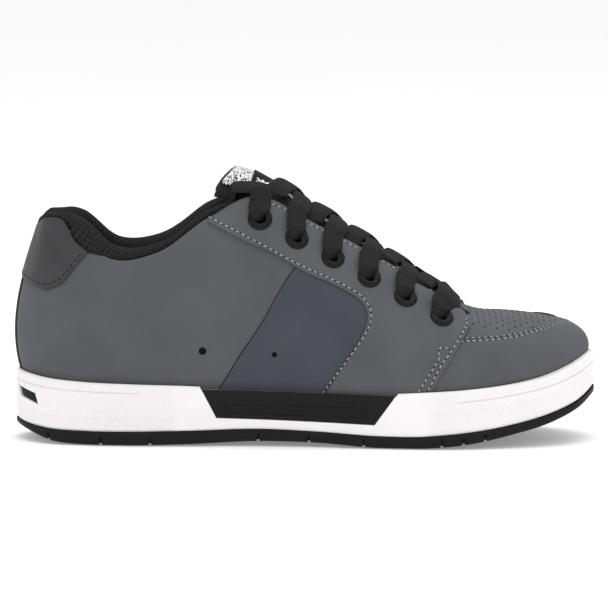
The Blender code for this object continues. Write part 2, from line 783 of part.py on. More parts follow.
def build_back_strip():
    """Strip down the middle of the heel, from the patch to the cup."""
    half = BACK_STRIP_WIDTH / 2 / LENGTH
    top = height_on_rib(0.0, HEEL_PATCH_OUTLINE[1][1] * UPPER_HEIGHT - 4 * GAP)
    places = (-half, 0.0, half)
    mesh = shell_patch("back_strip", places, lambda w: strip_shares(w, top), GAP,
                       GAP + OVERLAY_THICKNESS * 0.8, form_point)
    link_new("back_strip", mesh, "black_leather")


def strip_shares(w, top):
    foot = above_rim(w)
    return [foot + (top - foot) * step / 5 for step in range(6)]


def build_collar():
    places = ring_run(-COLLAR_END, COLLAR_END)
    sections = []
    for w in places:
        point, normal, up = form_frame(w, 1.0)
        fade = max(min((COLLAR_END - abs(w)) / COLLAR_TAPER, 1.0), 0.0)
        scale = 0.35 + 0.65 * math.sin(fade * math.pi / 2)
        section = []
        for way, inward, share in COLLAR_SECTION:
            depth = WALL + SOFT_GAP + inward * COLLAR_PAD * scale
            rise = COLLAR_RISE if way == "up" else -COLLAR_DEPTH
            level = share * rise * scale
            if way == "down":
                v = rib_share_below(w, share * COLLAR_DEPTH * scale)
                section.append(form_point(w, v, -depth))
            else:
                section.append(point - normal * depth + up * level)
        sections.append(section)
    mesh = section_loft("collar_lining", sections)
    return link_new("collar_lining", mesh, "black_mesh")


def rib_share_below(w, distance):
    """Share of the rib that lies a distance below its top, along the rib."""
    steps = 24
    walked = 0.0
    last = rib_point(w, 1.0)
    for step in range(1, steps + 1):
        v = 1.0 - 0.7 * step / steps
        point = rib_point(w, v)
        span = float(np.linalg.norm(point - last))
        if walked + span >= distance:
            return v + 0.7 / steps * (1 - (distance - walked) / span)
        walked += span
        last = point
    return 0.3


def build_insole():
    rings = []
    for lift in (0.0, INSOLE_THICKNESS):
        ring = []
        for w in RING:
            floor = sole_heights(w)[1]
            inset = -(WALL + 2 * GAP)
            share = height_on_rib(w, floor + lift, inset) if lift else 0.0
            point = form_point(w, share, inset)
            point[2] = floor + lift
            ring.append(point)
        rings.append(ring)
    return link_new("insole", ring_loft("insole", rings), "foam")


def tongue_sections():
    """Crest, half width, edge drop and backward lean of the tongue, top to front."""
    sections = []
    for row in TONGUE_TOP:
        sections.append((across_x(row.along), row.crest * UPPER_HEIGHT,
                         row.half * BALL_WIDTH, row.drop * UPPER_HEIGHT, TONGUE_BOW))
    under = -(WALL + SOFT_GAP + 2 * GAP)
    for w in ring_run(0.50, 0.76):
        edge = form_point(w, 1.0, under)
        wing = form_point(w, TONGUE_WING, under)
        crest = rib_point(w, 1.0)[2] + TONGUE_RISE
        drop = crest - wing[2]
        bow = math.log((crest - edge[2]) / drop) / math.log(edge[1] / wing[1])
        sections.append((rib_point(w, 1.0)[0], crest, abs(wing[1]), drop, bow))
    for row in TONGUE_FRONT:
        sections.append((across_x(row.along), row.crest * UPPER_HEIGHT - WALL,
                         row.half * BALL_WIDTH, row.drop * UPPER_HEIGHT, TONGUE_BOW))
    return sections


def tongue_point(section, across, depth):
    """Point of the tongue: across from -1 to 1, and depth below its front face."""
    x, crest, half, drop, bow = section
    y = across * half
    return np.array((x, y, crest - drop * abs(across) ** bow - depth))


def build_tongue():
    steps = 8
    rows = tongue_sections()
    sections = []
    for section in rows:
        front, back = [], []
        for step in range(steps + 1):
            across = -1 + 2 * step / steps
            thick = TONGUE_THICKNESS * (1 - 0.55 * abs(across) ** 3)
            front.append(tongue_point(section, across, 0.0))
            back.append(tongue_point(section, across, thick))
        sections.append(front + back[::-1])
    link_new("tongue", section_loft("tongue", sections), "woven_black")
    label = []
    for section in rows[:3]:
        front = [tongue_point(section, across, -GAP - LABEL_THICKNESS)
                 for across in (-0.5, -0.25, 0.0, 0.25, 0.5)]
        back = [tongue_point(section, across, -GAP)
                for across in (-0.5, -0.25, 0.0, 0.25, 0.5)]
        label.append(front + back[::-1])
    link_new("tongue_label", section_loft("tongue_label", label), "woven_black")


def build_eyelets():
    """Rubber grommets: a turned ring laid on the wall at every lace hole."""
    outer, bore = EYELET_DIAMETER / 2, EYELET_BORE / 2
    base = EYELET_SEAT
    profile = ((bore, base), (outer, base), (outer * 0.94, base + 0.8 * EYELET_HEIGHT),
               (bore * 1.25, base + EYELET_HEIGHT))
    for name, point, normal in eyelet_frames():
        turn = Vector(normal).to_track_quat("Z", "Y").to_matrix().to_4x4()
        bm = bmesh.new()
        loops = []
        for step in range(EYELET_SIDES):
            angle = 2 * math.pi * step / EYELET_SIDES
            loops.append([bm.verts.new((radius * math.cos(angle), radius * math.sin(angle),
                                        height)) for radius, height in profile])
        for step in range(EYELET_SIDES):
            add_strip(bm, loops[step], loops[(step + 1) % EYELET_SIDES])
        obj = link_new(name, mesh_from(bm, name), "black_rubber")
        obj.matrix_world = Matrix.Translation(Vector(point)) @ turn


def tongue_height(x, y):
    """Height of the tongue's front face above a point, or of its edge beyond it."""
    rows = sorted(tongue_sections())
    crest, half, drop, bow = (
        float(np.interp(x, [row[0] for row in rows], [row[index] for row in rows]))
        for index in (1, 2, 3, 4))
    return crest - drop * min(abs(y) / half, 1.0) ** bow


def throat_place(x):
    """Ring place on the inner side whose rib ends at an x of the throat's edge."""
    low, high = 0.47, 0.995
    for _ in range(24):
        middle = (low + high) / 2
        if rib_point(middle, 1.0)[0] < x:
            low = middle
        else:
            high = middle
    return low


def cover_height(x, y):
    """Height of the outermost face under a lace: the tongue, or the eyestay beyond it."""
    edge = abs(rib_point(throat_place(x), 1.0)[1])
    if abs(y) < edge:
        return tongue_height(x, y)
    w, v = nearest_on_side(x, -abs(y), axis=1)
    point, normal, _ = form_frame(w, v)
    return point[2] + (OVERLAY_THICKNESS + GAP) / max(normal[2], 0.4)


def clear_height(x, y):
    """Height that a lace has to keep at a point, with its neighbourhood."""
    return max(cover_height(x, y + step) for step in (-0.003, 0.0, 0.003))


def strand(name, route):
    """Flat lace over the tongue and the eyestay, along a route seen from above."""
    sections = []
    for index, (x, y, extra) in enumerate(route):
        before = route[max(index - 1, 0)]
        after = route[min(index + 1, len(route) - 1)]
        forward = np.array((after[0] - before[0], after[1] - before[1]))
        forward = forward / np.linalg.norm(forward)
        half = LACE_WIDTH / 2 * np.array((-forward[1], forward[0]))
        ends = [(x + half[0] * way, y + half[1] * way) for way in (-1, 1)]
        levels = [clear_height(*end) for end in ends]
        middle = clear_height(x, y)
        lift = extra + 3 * GAP + max(0.0, middle - sum(levels) / 2)
        low = [np.array((*end, level + lift)) for end, level in zip(ends, levels)]
        thick = np.array((0, 0, LACE_THICKNESS))
        sections.append([low[0], low[1], low[1] + thick, low[0] + thick])
    return link_new(name, section_loft(name, sections, smooth=False), "black_lace")


def crossing_route(start, end, reach, bump, first=None):
    """Points across the shoe from a start place on one side to short of the other."""
    steps = 8
    route = []
    first = first or reach
    for step in range(steps + 1):
        y = -first + (first + LACE_REACH) * step / steps
        share = (y + reach) / (2 * reach)
        lift = bump * max(0.0, 1 - (y / LACE_REACH) ** 2)
        route.append((start + (end - start) * share, y, lift))
    return route


def lace_start(index):
    """Where a lace clears its eyelet: x, and reach from the shoe's middle."""
    w, v = EYELET_PLACES[index]
    centre, _, up = form_frame(w, v)
    clear = centre + up * (EYELET_DIAMETER / 2 + 3 * GAP)
    return clear[0], abs(clear[1])


def build_laces():
    """A crossing between each pair of eyelets, the bar in front and the two ends."""
    for index in range(1, EYELET_COUNT):
        x, reach = lace_start(index)
        end, _ = lace_start(index - 1)
        first = LACE_REACH if index == EYELET_COUNT - 1 else reach
        under = strand(f"lace_crossing_{index}", crossing_route(x, end, reach, 0.0, first))
        route = crossing_route(x, end, reach, 0.7 * LACE_THICKNESS, first)
        over = strand(f"lace_over_{index}", [(x, -y, lift) for x, y, lift in route])
        join(under, over)
    x, reach = lace_start(EYELET_COUNT - 1)
    bar = []
    for step in range(9):
        share = step / 4 - 1
        bar.append((x + LACE_BAR_BULGE * (1 - share * share), reach * share, 0.0))
    strand("lace_bar", bar)
    x, reach = lace_start(0)
    for side, sign in (("inner", -1), ("outer", 1)):
        end = [(x - LACE_END[0] * share, sign * (reach - LACE_END[1] * share), 0.0)
               for share in (0.0, 0.25, 0.5, 0.75, 1.0)]
        strand(f"lace_end_{side}", end)


def join(obj, other):
    """Union of two solids that cross, in the first one's name."""
    cut(obj, other, "UNION")
    bpy.data.objects.remove(other, do_unlink=True)


def main():
    clear_scene()
    make_collections()
    build_outsole()
    build_midsole()
    build_inserts()
    build_upper()
    build_overlays()
    build_collar()
    build_insole()
    build_tongue()
    build_eyelets()
    build_laces()


main()
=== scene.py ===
"""Finished look of the skateboarding shoe for the left foot, built round its packed solids.

The toe points to +X, the inner side of the foot is at -Y and the ground is z = 0.
Every layer of the upper is one form: a ring of ribs, each a curve from the cup's floor
up to the edge of the opening. w runs round the ring, from 0 at the heel to 1 at the toe
along the inner side and on to 2 along the outer side, and v runs up a rib from 0 to 1.
"""

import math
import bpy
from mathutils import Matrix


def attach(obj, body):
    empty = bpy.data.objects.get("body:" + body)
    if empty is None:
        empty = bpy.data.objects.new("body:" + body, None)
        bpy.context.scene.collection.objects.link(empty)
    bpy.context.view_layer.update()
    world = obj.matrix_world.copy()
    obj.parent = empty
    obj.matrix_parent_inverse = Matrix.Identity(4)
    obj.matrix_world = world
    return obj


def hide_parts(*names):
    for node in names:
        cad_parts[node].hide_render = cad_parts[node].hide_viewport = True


bl_info = {
    "name": "Skateboarding shoe, left foot",
    "version": (1, 0, 0),
    "blender": (4, 5, 0),
    "location": "3D View > Sidebar > Shoe",
    "description": "Builds the finished skateboarding shoe round its packed solids",
    "category": "Object",
}

import bpy
import numpy as np
from bpy.props import FloatProperty, FloatVectorProperty, IntProperty, PointerProperty
from mathutils import Matrix, Vector

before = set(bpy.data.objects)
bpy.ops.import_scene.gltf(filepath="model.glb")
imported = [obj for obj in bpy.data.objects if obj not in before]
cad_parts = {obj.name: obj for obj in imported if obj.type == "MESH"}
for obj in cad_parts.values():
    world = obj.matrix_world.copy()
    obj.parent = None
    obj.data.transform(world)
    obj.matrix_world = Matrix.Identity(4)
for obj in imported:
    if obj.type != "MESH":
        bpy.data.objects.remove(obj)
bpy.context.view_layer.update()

# Driving sizes of the solids, in metres
LENGTH = 0.300
BALL_WIDTH = 0.105
UPPER_HEIGHT = 0.1275
SOLE_HEIGHT = 0.036
WALL = 0.0023
GAP = 0.0003
COLLAR_END = 0.455

# The sole, a row for each station from the heel to the toe. Along is a share of
# LENGTH, inner and outer are half widths as shares of BALL_WIDTH, and the rest are
# heights as shares of SOLE_HEIGHT, but groove and ledge, which are shares of the wall.
SOLE_COLUMNS = ("along", "inner", "outer", "rim", "floor", "split", "base", "groove", "ledge")
SOLE = np.array((
    (0.000, 0.000, 0.000, 1.000, 0.444, 0.278, 0.208, 0.81, 0.29),
    (0.020, 0.180, 0.163, 0.980, 0.444, 0.250, 0.153, 0.81, 0.29),
    (0.060, 0.290, 0.264, 0.940, 0.444, 0.211, 0.039, 0.81, 0.29),
    (0.120, 0.348, 0.319, 0.905, 0.444, 0.194, 0.000, 0.81, 0.29),
    (0.200, 0.381, 0.357, 0.883, 0.444, 0.194, 0.000, 0.81, 0.29),
    (0.300, 0.381, 0.376, 0.858, 0.436, 0.211, 0.017, 0.81, 0.29),
    (0.420, 0.381, 0.405, 0.800, 0.417, 0.239, 0.061, 0.78, 0.35),
    (0.520, 0.414, 0.452, 0.778, 0.375, 0.214, 0.050, 0.75, 0.45),
    (0.620, 0.471, 0.495, 0.775, 0.342, 0.172, 0.000, 0.73, 0.53),
    (0.700, 0.500, 0.500, 0.806, 0.342, 0.172, 0.000, 0.73, 0.53),
    (0.780, 0.495, 0.471, 0.844, 0.389, 0.228, 0.056, 0.73, 0.53),
    (0.860, 0.443, 0.405, 0.917, 0.500, 0.333, 0.189, 0.73, 0.53),
    (0.920, 0.382, 0.333, 1.014, 0.640, 0.458, 0.319, 0.73, 0.53),
    (0.970, 0.267, 0.205, 1.153, 0.806, 0.611, 0.486, 0.73, 0.53),
    (0.992, 0.150, 0.080, 1.240, 0.910, 0.722, 0.605, 0.73, 0.53),
    (1.000, 0.040, -0.040, 1.272, 0.944, 0.764, 0.647, 0.73, 0.53),
))
# The upper's ribs at the same stations: shares of LENGTH, BALL_WIDTH and UPPER_HEIGHT
RIB_COLUMNS = ("along", "half", "height", "tuck", "belly", "rise", "ahead", "crown", "drop")
RIBS = np.array((
    (0.045, 0.000, 0.886, 0.119, 0.210, 0.25, 0.000, 0.099, 0.245),
    (0.050, 0.076, 0.898, 0.114, 0.196, 0.25, 0.000, 0.094, 0.236),
    (0.063, 0.162, 0.916, 0.105, 0.166, 0.25, 0.000, 0.097, 0.236),
    (0.103, 0.238, 0.851, 0.095, 0.133, 0.24, 0.000, 0.095, 0.22),
    (0.167, 0.286, 0.750, 0.090, 0.124, 0.235, 0.007, 0.076, 0.19),
    (0.247, 0.300, 0.775, 0.090, 0.124, 0.23, 0.013, 0.086, 0.20),
    (0.337, 0.286, 0.918, 0.090, 0.124, 0.235, 0.027, 0.124, 0.235),
    (0.420, 0.248, 1.000, 0.090, 0.129, 0.25, 0.033, 0.162, 0.235),
    (0.517, 0.214, 0.886, 0.090, 0.133, 0.25, 0.030, 0.181, 0.19),
    (0.627, 0.195, 0.741, 0.090, 0.133, 0.24, 0.027, 0.190, 0.12),
    (0.713, 0.176, 0.607, 0.092, 0.138, 0.22, 0.023, 0.210, 0.063),
    (0.758, 0.157, 0.530, 0.095, 0.158, 0.208, 0.033, 0.248, 0.020),
    (0.777, 0.114, 0.507, 0.097, 0.181, 0.192, 0.013, 0.319, -0.009),
    (0.783, 0.066, 0.504, 0.100, 0.194, 0.185, 0.004, 0.386, -0.024),
    (0.785, 0.030, 0.503, 0.100, 0.197, 0.185, 0.000, 0.431, -0.024),
    (0.786, 0.000, 0.503, 0.100, 0.199, 0.185, 0.000, 0.446, -0.024),
))
RIB_LEAN = 0.12

# Lace row: first and last eyelet in the side view, as shares of LENGTH and UPPER_HEIGHT
EYELET_TOP = (0.423, 0.910)
EYELET_FRONT = (0.732, 0.516)
EYELET_COUNT = 6
# Side slots of the outsole, as shares of LENGTH
TREAD_SLOTS = (0.060, 0.150, 0.235, 0.420, 0.507, 0.600, 0.733, 0.770, 0.807)

# Lines seen from the side, in millimetres along and up
EYESTAY_LOW = ((-50.5, 115.6), (-25.0, 102.9), (-1.0, 90.0), (13.0, 83.8), (22.0, 79.2),
               (27.4, 75.6), (30.6, 72.0), (31.9, 68.9), (32.0, 67.0))
EYESTAY_HIGH_X = (-50.0, -17.0, 11.0, 27.0, 37.0, 42.0, 45.0, 46.5, 47.0)
QUARTER_BACK = ((7.0, 27.8), (14.8, 38.4), (22.4, 49.2), (28.2, 57.4), (31.0, 62.6),
                (31.9, 65.4), (32.0, 67.0))
QUARTER_FRONT = ((64.6, 29.0), (72.4, 42.0), (80.6, 55.2), (83.6, 60.4))
PANEL_BACK = ((-46.7, 29.0), (-33.2, 49.7), (-19.5, 70.1), (-2.6, 93.8))
PANEL_TOP = ((-2.6, 93.8), (15.0, 86.5), (27.0, 79.0), (36.0, 70.0))
PANEL_FRONT = ((14.0, 29.0), (21.0, 40.5), (30.0, 56.0), (36.0, 70.0))
HEEL_LOW = ((-140.0, 81.8), (-133.6, 80.0), (-127.8, 81.6), (-123.4, 85.0), (-117.6, 92.4),
            (-111.6, 98.9))
HEEL_LOW_BACK = 84.4
MOC_SEAM = ((53.0, 53.6), (62.0, 54.3), (72.0, 54.8), (81.0, 55.2), (92.0, 55.4),
            (101.0, 55.9), (110.0, 57.0), (117.0, 58.3), (124.0, 59.5), (130.0, 60.4))
MOC_FRONT = 60.0
# Vent holes, drawn as flat near-black discs of painted shade: along, up and width in
# millimetres, and lift off the upper in metres
VENTS = ((-52.4, 49.0, 4.0, 0.0), (-15.6, 47.4, 3.1, 0.0006))
# Ring places and rib shares of the upper edge of the patch on the toe's outer side
OLLIE_TOP = ((1.0455, 0.30), (1.0445, 0.42), (1.043, 0.52), (1.047, 0.592), (1.066, 0.62),
             (1.100, 0.61), (1.160, 0.57), (1.230, 0.50), (1.300, 0.40), (1.315, 0.34))
OLLIE_RUN = (1.045, 1.315)
# Inserts of the cup's wall: left bottom, right bottom, right top, left top
ARCH_CORNERS = ((-45.2, 14.7), (35.3, 12.3), (46.0, 26.9), (-52.9, 29.1))
ARCH_OPENING = (*ARCH_CORNERS[:1:-1], (51.0, 34.0), (-55.4, 33.9))
ARCH_SLOT = ((-40.8, 16.6), (30.2, 15.2), (31.8, 20.6), (-0.8, 21.6), (-41.6, 21.4))
WINDOW_CORNERS = ((-146.9, 23.2), (-137.6, 20.0), (-139.2, 25.2), (-148.0, 28.0))
LAYER_HEAD = 0.985

MM = 0.001
RIB_LENGTH = 0.078


def srgb(red, green, blue):
    """Linear colour of an eight-bit screen colour."""
    return tuple(((c / 255 + 0.055) / 1.055) ** 2.4 for c in (red, green, blue))


# Ring of stations
def column(table, names, name):
    return table[:, names.index(name)]


def sole_column(name):
    return column(SOLE, SOLE_COLUMNS, name)


def rib_column(name):
    return column(RIBS, RIB_COLUMNS, name)


def walk(steps):
    """Distance walked before and after each step of a row."""
    return np.concatenate(((0.0,), np.cumsum(steps)))


def line_walk(points):
    """Distance walked along a line at each of its points."""
    return walk(np.linalg.norm(np.diff(points, axis=0), axis=1))


def picked(table, walked, at):
    """Rows of a table at distances along it."""
    return np.stack([np.interp(at, walked, values) for values in table.T], axis=1)


def hermite(t, start, start_slope, end, end_slope):
    """Smooth curve between two values with given slopes."""
    return (start * (2 * t**3 - 3 * t**2 + 1) + start_slope * (t**3 - 2 * t**2 + t)
            + end * (3 * t**2 - 2 * t**3) + end_slope * (t**3 - t**2))


def halved(low, high, falls_short, rounds):
    """Values where a test stops falling short, found by halving their range."""
    for _ in range(rounds):
        middle = (low + high) / 2
        short = falls_short(middle)
        low, high = np.where(short, middle, low), np.where(short, high, middle)
    return low


def station_knots():
    steps = np.diff(sole_column("along")) * LENGTH
    inner = np.hypot(steps, np.diff(sole_column("inner")) * BALL_WIDTH)
    outer = np.hypot(steps, np.diff(sole_column("outer")) * BALL_WIDTH)
    walked = walk((inner + outer) / 2)
    return walked / walked[-1]


KNOTS = station_knots()


def ring_of(inner, outer):
    """Rows round the ring from rows of the inner and of the outer side."""
    return np.concatenate((inner, outer[-2:0:-1]))


RING_KNOTS = ring_of(KNOTS, 2.0 - KNOTS)


class RingCurve:
    """Smooth closed curve through one row of values for each ring station."""

    def __init__(self, rows):
        rows = np.array(rows, dtype=float)
        knots = RING_KNOTS
        back = ((knots - np.roll(knots, 1)) % 2.0)[:, None]
        ahead = ((np.roll(knots, -1) - knots) % 2.0)[:, None]
        slope_back = (rows - np.roll(rows, 1, axis=0)) / back
        slope_ahead = (np.roll(rows, -1, axis=0) - rows) / ahead
        weight = back / (back + ahead)
        self.rows = rows
        self.spans = ahead
        self.slopes = slope_back * (1 - weight) + slope_ahead * weight

    def at(self, w):
        w = np.asarray(w, dtype=float) % 2.0
        index = np.searchsorted(RING_KNOTS, w, side="right") - 1
        following = (index + 1) % len(self.rows)
        span = self.spans[index]
        t = (w - RING_KNOTS[index])[..., None] / span
        return hermite(t, self.rows[index], self.slopes[index] * span,
                       self.rows[following], self.slopes[following] * span)


def across_x(along):
    return (along - 0.5) * LENGTH


def unit(vectors):
    return vectors / np.linalg.norm(vectors, axis=-1, keepdims=True)


def outline_rows():
    x = across_x(sole_column("along"))
    inner = np.stack((x, -sole_column("inner") * BALL_WIDTH), axis=1)
    outer = np.stack((x, sole_column("outer") * BALL_WIDTH), axis=1)
    return ring_of(inner, outer)


def both_sides(*names):
    rows = np.stack([sole_column(name) for name in names], axis=1)
    return ring_of(rows, rows)


OUTLINE = RingCurve(outline_rows())
HEIGHTS = RingCurve(both_sides("rim", "floor", "split", "base"))
LINES = RingCurve(both_sides("groove", "ledge"))


def outline_frame(w):
    """Points of the sole's outline and their outward directions, seen from above."""
    step = 1e-4
    place = OUTLINE.at(w)
    forward = OUTLINE.at(w + step) - OUTLINE.at(w - step)
    outward = unit(np.stack((forward[..., 1], -forward[..., 0]), axis=-1))
    flat = np.zeros(place.shape[:-1] + (1,))
    return np.concatenate((place, flat), -1), np.concatenate((outward, flat), -1)


def sole_heights(w):
    """Rim, floor, split and base heights."""
    rim, floor, split, base = np.moveaxis(HEIGHTS.at(w) * SOLE_HEIGHT, -1, 0)
    return rim, floor, split, np.maximum(base, 0.0)


def rib_controls():
    rows = []
    for sign, ring in ((-1.0, KNOTS), (1.0, 2.0 - KNOTS)):
        edge, outward = outline_frame(ring)
        up = np.array((0.0, 0.0, 1.0))
        foot = edge - outward * rib_column("tuck")[:, None] * BALL_WIDTH
        foot = foot + up * sole_column("floor")[:, None] * SOLE_HEIGHT
        top = np.stack((across_x(rib_column("along")), sign * rib_column("half") * BALL_WIDTH,
                        rib_column("height") * UPPER_HEIGHT), axis=1)
        low = foot + outward * rib_column("belly")[:, None] * BALL_WIDTH
        low[:, 0] += RIB_LEAN * (top[:, 0] - foot[:, 0]) * abs(outward[:, 1])
        low[:, 2] += rib_column("rise") * UPPER_HEIGHT
        high = top + outward * rib_column("crown")[:, None] * BALL_WIDTH
        high[:, 0] += rib_column("ahead") * LENGTH
        high[:, 2] -= rib_column("drop") * UPPER_HEIGHT
        rows.append(np.concatenate((foot, low, high, top), axis=1))
    return ring_of(*rows)


CONTROLS = RingCurve(rib_controls())


def rib_point(w, v):
    w, v = np.broadcast_arrays(np.asarray(w, float), np.asarray(v, float))
    controls = CONTROLS.at(w).reshape(w.shape + (4, 3))
    v = v[..., None]
    u = 1 - v
    return (controls[..., 0, :] * u**3 + 3 * controls[..., 1, :] * u * u * v
            + 3 * controls[..., 2, :] * u * v * v + controls[..., 3, :] * v**3)


def form_frame(w, v):
    """Points of the upper's outer face, their outward normals and their way up the rib."""
    step = 2e-4
    w, v = np.broadcast_arrays(np.asarray(w, float), np.asarray(v, float))
    up = rib_point(w, np.minimum(v + step, 1.0)) - rib_point(w, np.maximum(v - step, 0.0))
    round_way = rib_point(w + step, v) - rib_point(w - step, v)
    return rib_point(w, v), unit(np.cross(round_way, up)), unit(up)


def skin(w, v, offset=0.0):
    """Points off the upper's outer face."""
    point, normal, _ = form_frame(w, v)
    return point + normal * np.asarray(offset)[..., None]


def share_at_height(w, height, offset=0.0):
    """Share of each rib at which a face of the form reaches a height."""
    return halved(np.zeros(np.shape(w)), np.full(np.shape(w), 0.8),
                  lambda v: skin(w, v, offset)[..., 2] < height, 24)


def cup_point(w, height, inset):
    edge, outward = outline_frame(w)
    point = edge - outward * np.asarray(inset)[..., None]
    point[..., 2] = height
    return point


def place_along(x):
    """Ring places on the inner side whose outline reaches x."""
    return halved(np.zeros(np.shape(x)), np.ones(np.shape(x)),
                  lambda w: OUTLINE.at(w)[..., 0] < x, 30)


SAMPLE_W, SAMPLE_V = np.meshgrid(np.linspace(0.02, 0.98, 220), np.linspace(0.03, 1.0, 70))


def places_of(targets, axes=(0, 2), outer=False):
    """Ring places and rib shares whose points have two given coordinates, in metres."""
    targets = np.asarray(targets, float).reshape(-1, 2)
    sample_w = 2.0 - SAMPLE_W.ravel() if outer else SAMPLE_W.ravel()
    sample_v = SAMPLE_V.ravel()
    samples = rib_point(sample_w, sample_v)[:, list(axes)]
    near = ((targets[:, None] - samples[None]) ** 2).sum(axis=2).argmin(axis=1)
    w, v = sample_w[near].copy(), sample_v[near].copy()
    step = 1e-4
    for _ in range(12):
        here = rib_point(w, v)[:, list(axes)]
        slope_w = (rib_point(w + step, v)[:, list(axes)] - here) / step
        slope_v = (rib_point(w, v + step)[:, list(axes)] - here) / step
        miss = targets - here
        area = slope_w[:, 0] * slope_v[:, 1] - slope_v[:, 0] * slope_w[:, 1]
        area = np.where(abs(area) < 1e-9, 1e-9, area)
        move_w = (miss[:, 0] * slope_v[:, 1] - slope_v[:, 0] * miss[:, 1]) / area
        move_v = (slope_w[:, 0] * miss[:, 1] - miss[:, 0] * slope_w[:, 1]) / area
        w = w + np.clip(0.7 * move_w, -0.01, 0.01)
        v = np.clip(v + np.clip(0.7 * move_v, -0.03, 0.03), 0.02, 1.0)
    return np.stack((w, v), axis=1)


def side_places(points):
    """Ring places and rib shares of side-view points of the inner side, in millimetres."""
    return places_of(np.array(points) * MM)


def smooth_line(points, count):
    """Even steps along a smooth curve through points."""
    points = np.asarray(points, float)
    if len(points) == 2:
        return points[0] + (points[1] - points[0]) * np.linspace(0, 1, count)[:, None]
    steps = np.maximum(np.linalg.norm(np.diff(points, axis=0), axis=1), 1e-9) ** 0.5
    knots = walk(steps)
    slopes = np.gradient(points, knots, axis=0, edge_order=1)
    fine = np.linspace(0, knots[-1], 40 * len(points))
    index = np.clip(np.searchsorted(knots, fine, side="right") - 1, 0, len(points) - 2)
    span = (knots[index + 1] - knots[index])[:, None]
    t = (fine - knots[index])[:, None] / span
    curve = hermite(t, points[index], slopes[index] * span, points[index + 1],
                    slopes[index + 1] * span)
    return even_steps(curve, count)


def even_steps(line, count):
    """The same line, cut into equal steps."""
    walked = line_walk(line)
    return picked(line, walked, np.linspace(0, walked[-1], count))


def smooth_values(at, knots, values):
    """Smooth values between knots, held level past the ends."""
    knots, values = np.asarray(knots, float), np.asarray(values, float)
    slopes = np.gradient(values, knots)
    at = np.clip(at, knots[0], knots[-1])
    index = np.clip(np.searchsorted(knots, at, side="right") - 1, 0, len(knots) - 2)
    span = knots[index + 1] - knots[index]
    return hermite((at - knots[index]) / span, values[index], slopes[index] * span,
                   values[index + 1], slopes[index + 1] * span)


def ease(value, low, high):
    """Smooth step from 0 at low to 1 at high."""
    t = np.clip((np.asarray(value, float) - low) / (high - low), 0, 1)
    return t * t * (3 - 2 * t)


def drawn_to(line, place, end):
    """A line with its first or last place moved, and the rest following by their share."""
    share = np.linspace(1, 0, len(line)) if end == 0 else np.linspace(0, 1, len(line))
    return line + (place - line[end]) * share[:, None]


def between_edges(low, high, left, right):
    """Grid between four edges, where low and high run one way and left and right up."""
    s = np.linspace(0, 1, len(low))[None, :, None]
    t = np.linspace(0, 1, len(left))[:, None, None]
    ruled = low[None] * (1 - t) + high[None] * t
    sides = left[:, None] * (1 - s) + right[:, None] * s
    corners = (low[0] * (1 - s) + low[-1] * s) * (1 - t) + (high[0] * (1 - s)
                                                            + high[-1] * s) * t
    return ruled + sides - corners


def outline_distance(points, outline):
    """Distance of flat points to a closed outline, negative inside it."""
    outline = np.asarray(outline, float)
    start, end = outline, np.roll(outline, -1, axis=0)
    run = end - start
    flat = points.reshape(-1, 1, 2)
    t = np.clip(((flat - start) * run).sum(-1) / (run**2).sum(-1), 0, 1)
    gap = np.linalg.norm(flat - (start + run * t[..., None]), axis=-1).min(axis=1)
    x, y = flat[..., 0], flat[..., 1]
    crosses = ((start[:, 1] > y) != (end[:, 1] > y)) & (
        x < start[:, 0] + (y - start[:, 1]) * run[:, 0]
        / np.where(abs(run[:, 1]) < 1e-12, 1e-12, run[:, 1]))
    inside = crosses.sum(axis=1) % 2 == 1
    return np.where(inside, -gap, gap).reshape(points.shape[:-1])


# Modelling by hand
def select_only(*pieces):
    bpy.ops.object.select_all(action="DESELECT")
    for piece in pieces:
        piece.select_set(True)
    bpy.context.view_layer.objects.active = pieces[0]


def add_sheet(name, points):
    """Grid primitive drawn over rows and columns of points, with its map in metres."""
    rows, columns = points.shape[:2]
    bpy.ops.object.select_all(action="DESELECT")
    bpy.ops.mesh.primitive_grid_add(x_subdivisions=columns - 1, y_subdivisions=rows - 1,
                                    size=1)
    piece = bpy.context.object
    piece.name = piece.data.name = name
    piece.data.vertices.foreach_set("co", np.ascontiguousarray(points, float).ravel())
    across = np.linalg.norm(np.diff(points, axis=1), axis=2).mean(axis=0)
    up = np.linalg.norm(np.diff(points, axis=0), axis=2).mean(axis=1)
    u, v = walk(across), walk(up)
    corners = np.empty(len(piece.data.loops), np.int32)
    piece.data.loops.foreach_get("vertex_index", corners)
    places = np.stack((u[corners % columns], v[corners // columns]), axis=1)
    piece.data.uv_layers[0].data.foreach_set("uv", places.ravel())
    piece.data.update()
    return piece


def edit(piece, *steps):
    """Run edit-mode steps on the whole of a piece."""
    select_only(piece)
    bpy.ops.object.mode_set(mode="EDIT")
    bpy.ops.mesh.select_all(action="SELECT")
    for step in steps:
        step()
    bpy.ops.object.mode_set(mode="OBJECT")


def weld(piece, outward=True):
    """Merge doubled points, and turn the faces outwards."""
    steps = [lambda: bpy.ops.mesh.remove_doubles(threshold=2e-6),
             lambda: bpy.ops.mesh.dissolve_degenerate(threshold=1e-6)]
    if outward:
        steps.append(lambda: bpy.ops.mesh.normals_make_consistent(inside=False))
    edit(piece, *steps)
    return piece


def apply_modifier(piece, kind, **settings):
    modifier = piece.modifiers.new(kind.lower(), kind)
    for name, value in settings.items():
        setattr(modifier, name, value)
    select_only(piece)
    bpy.ops.object.modifier_apply(modifier=modifier.name)


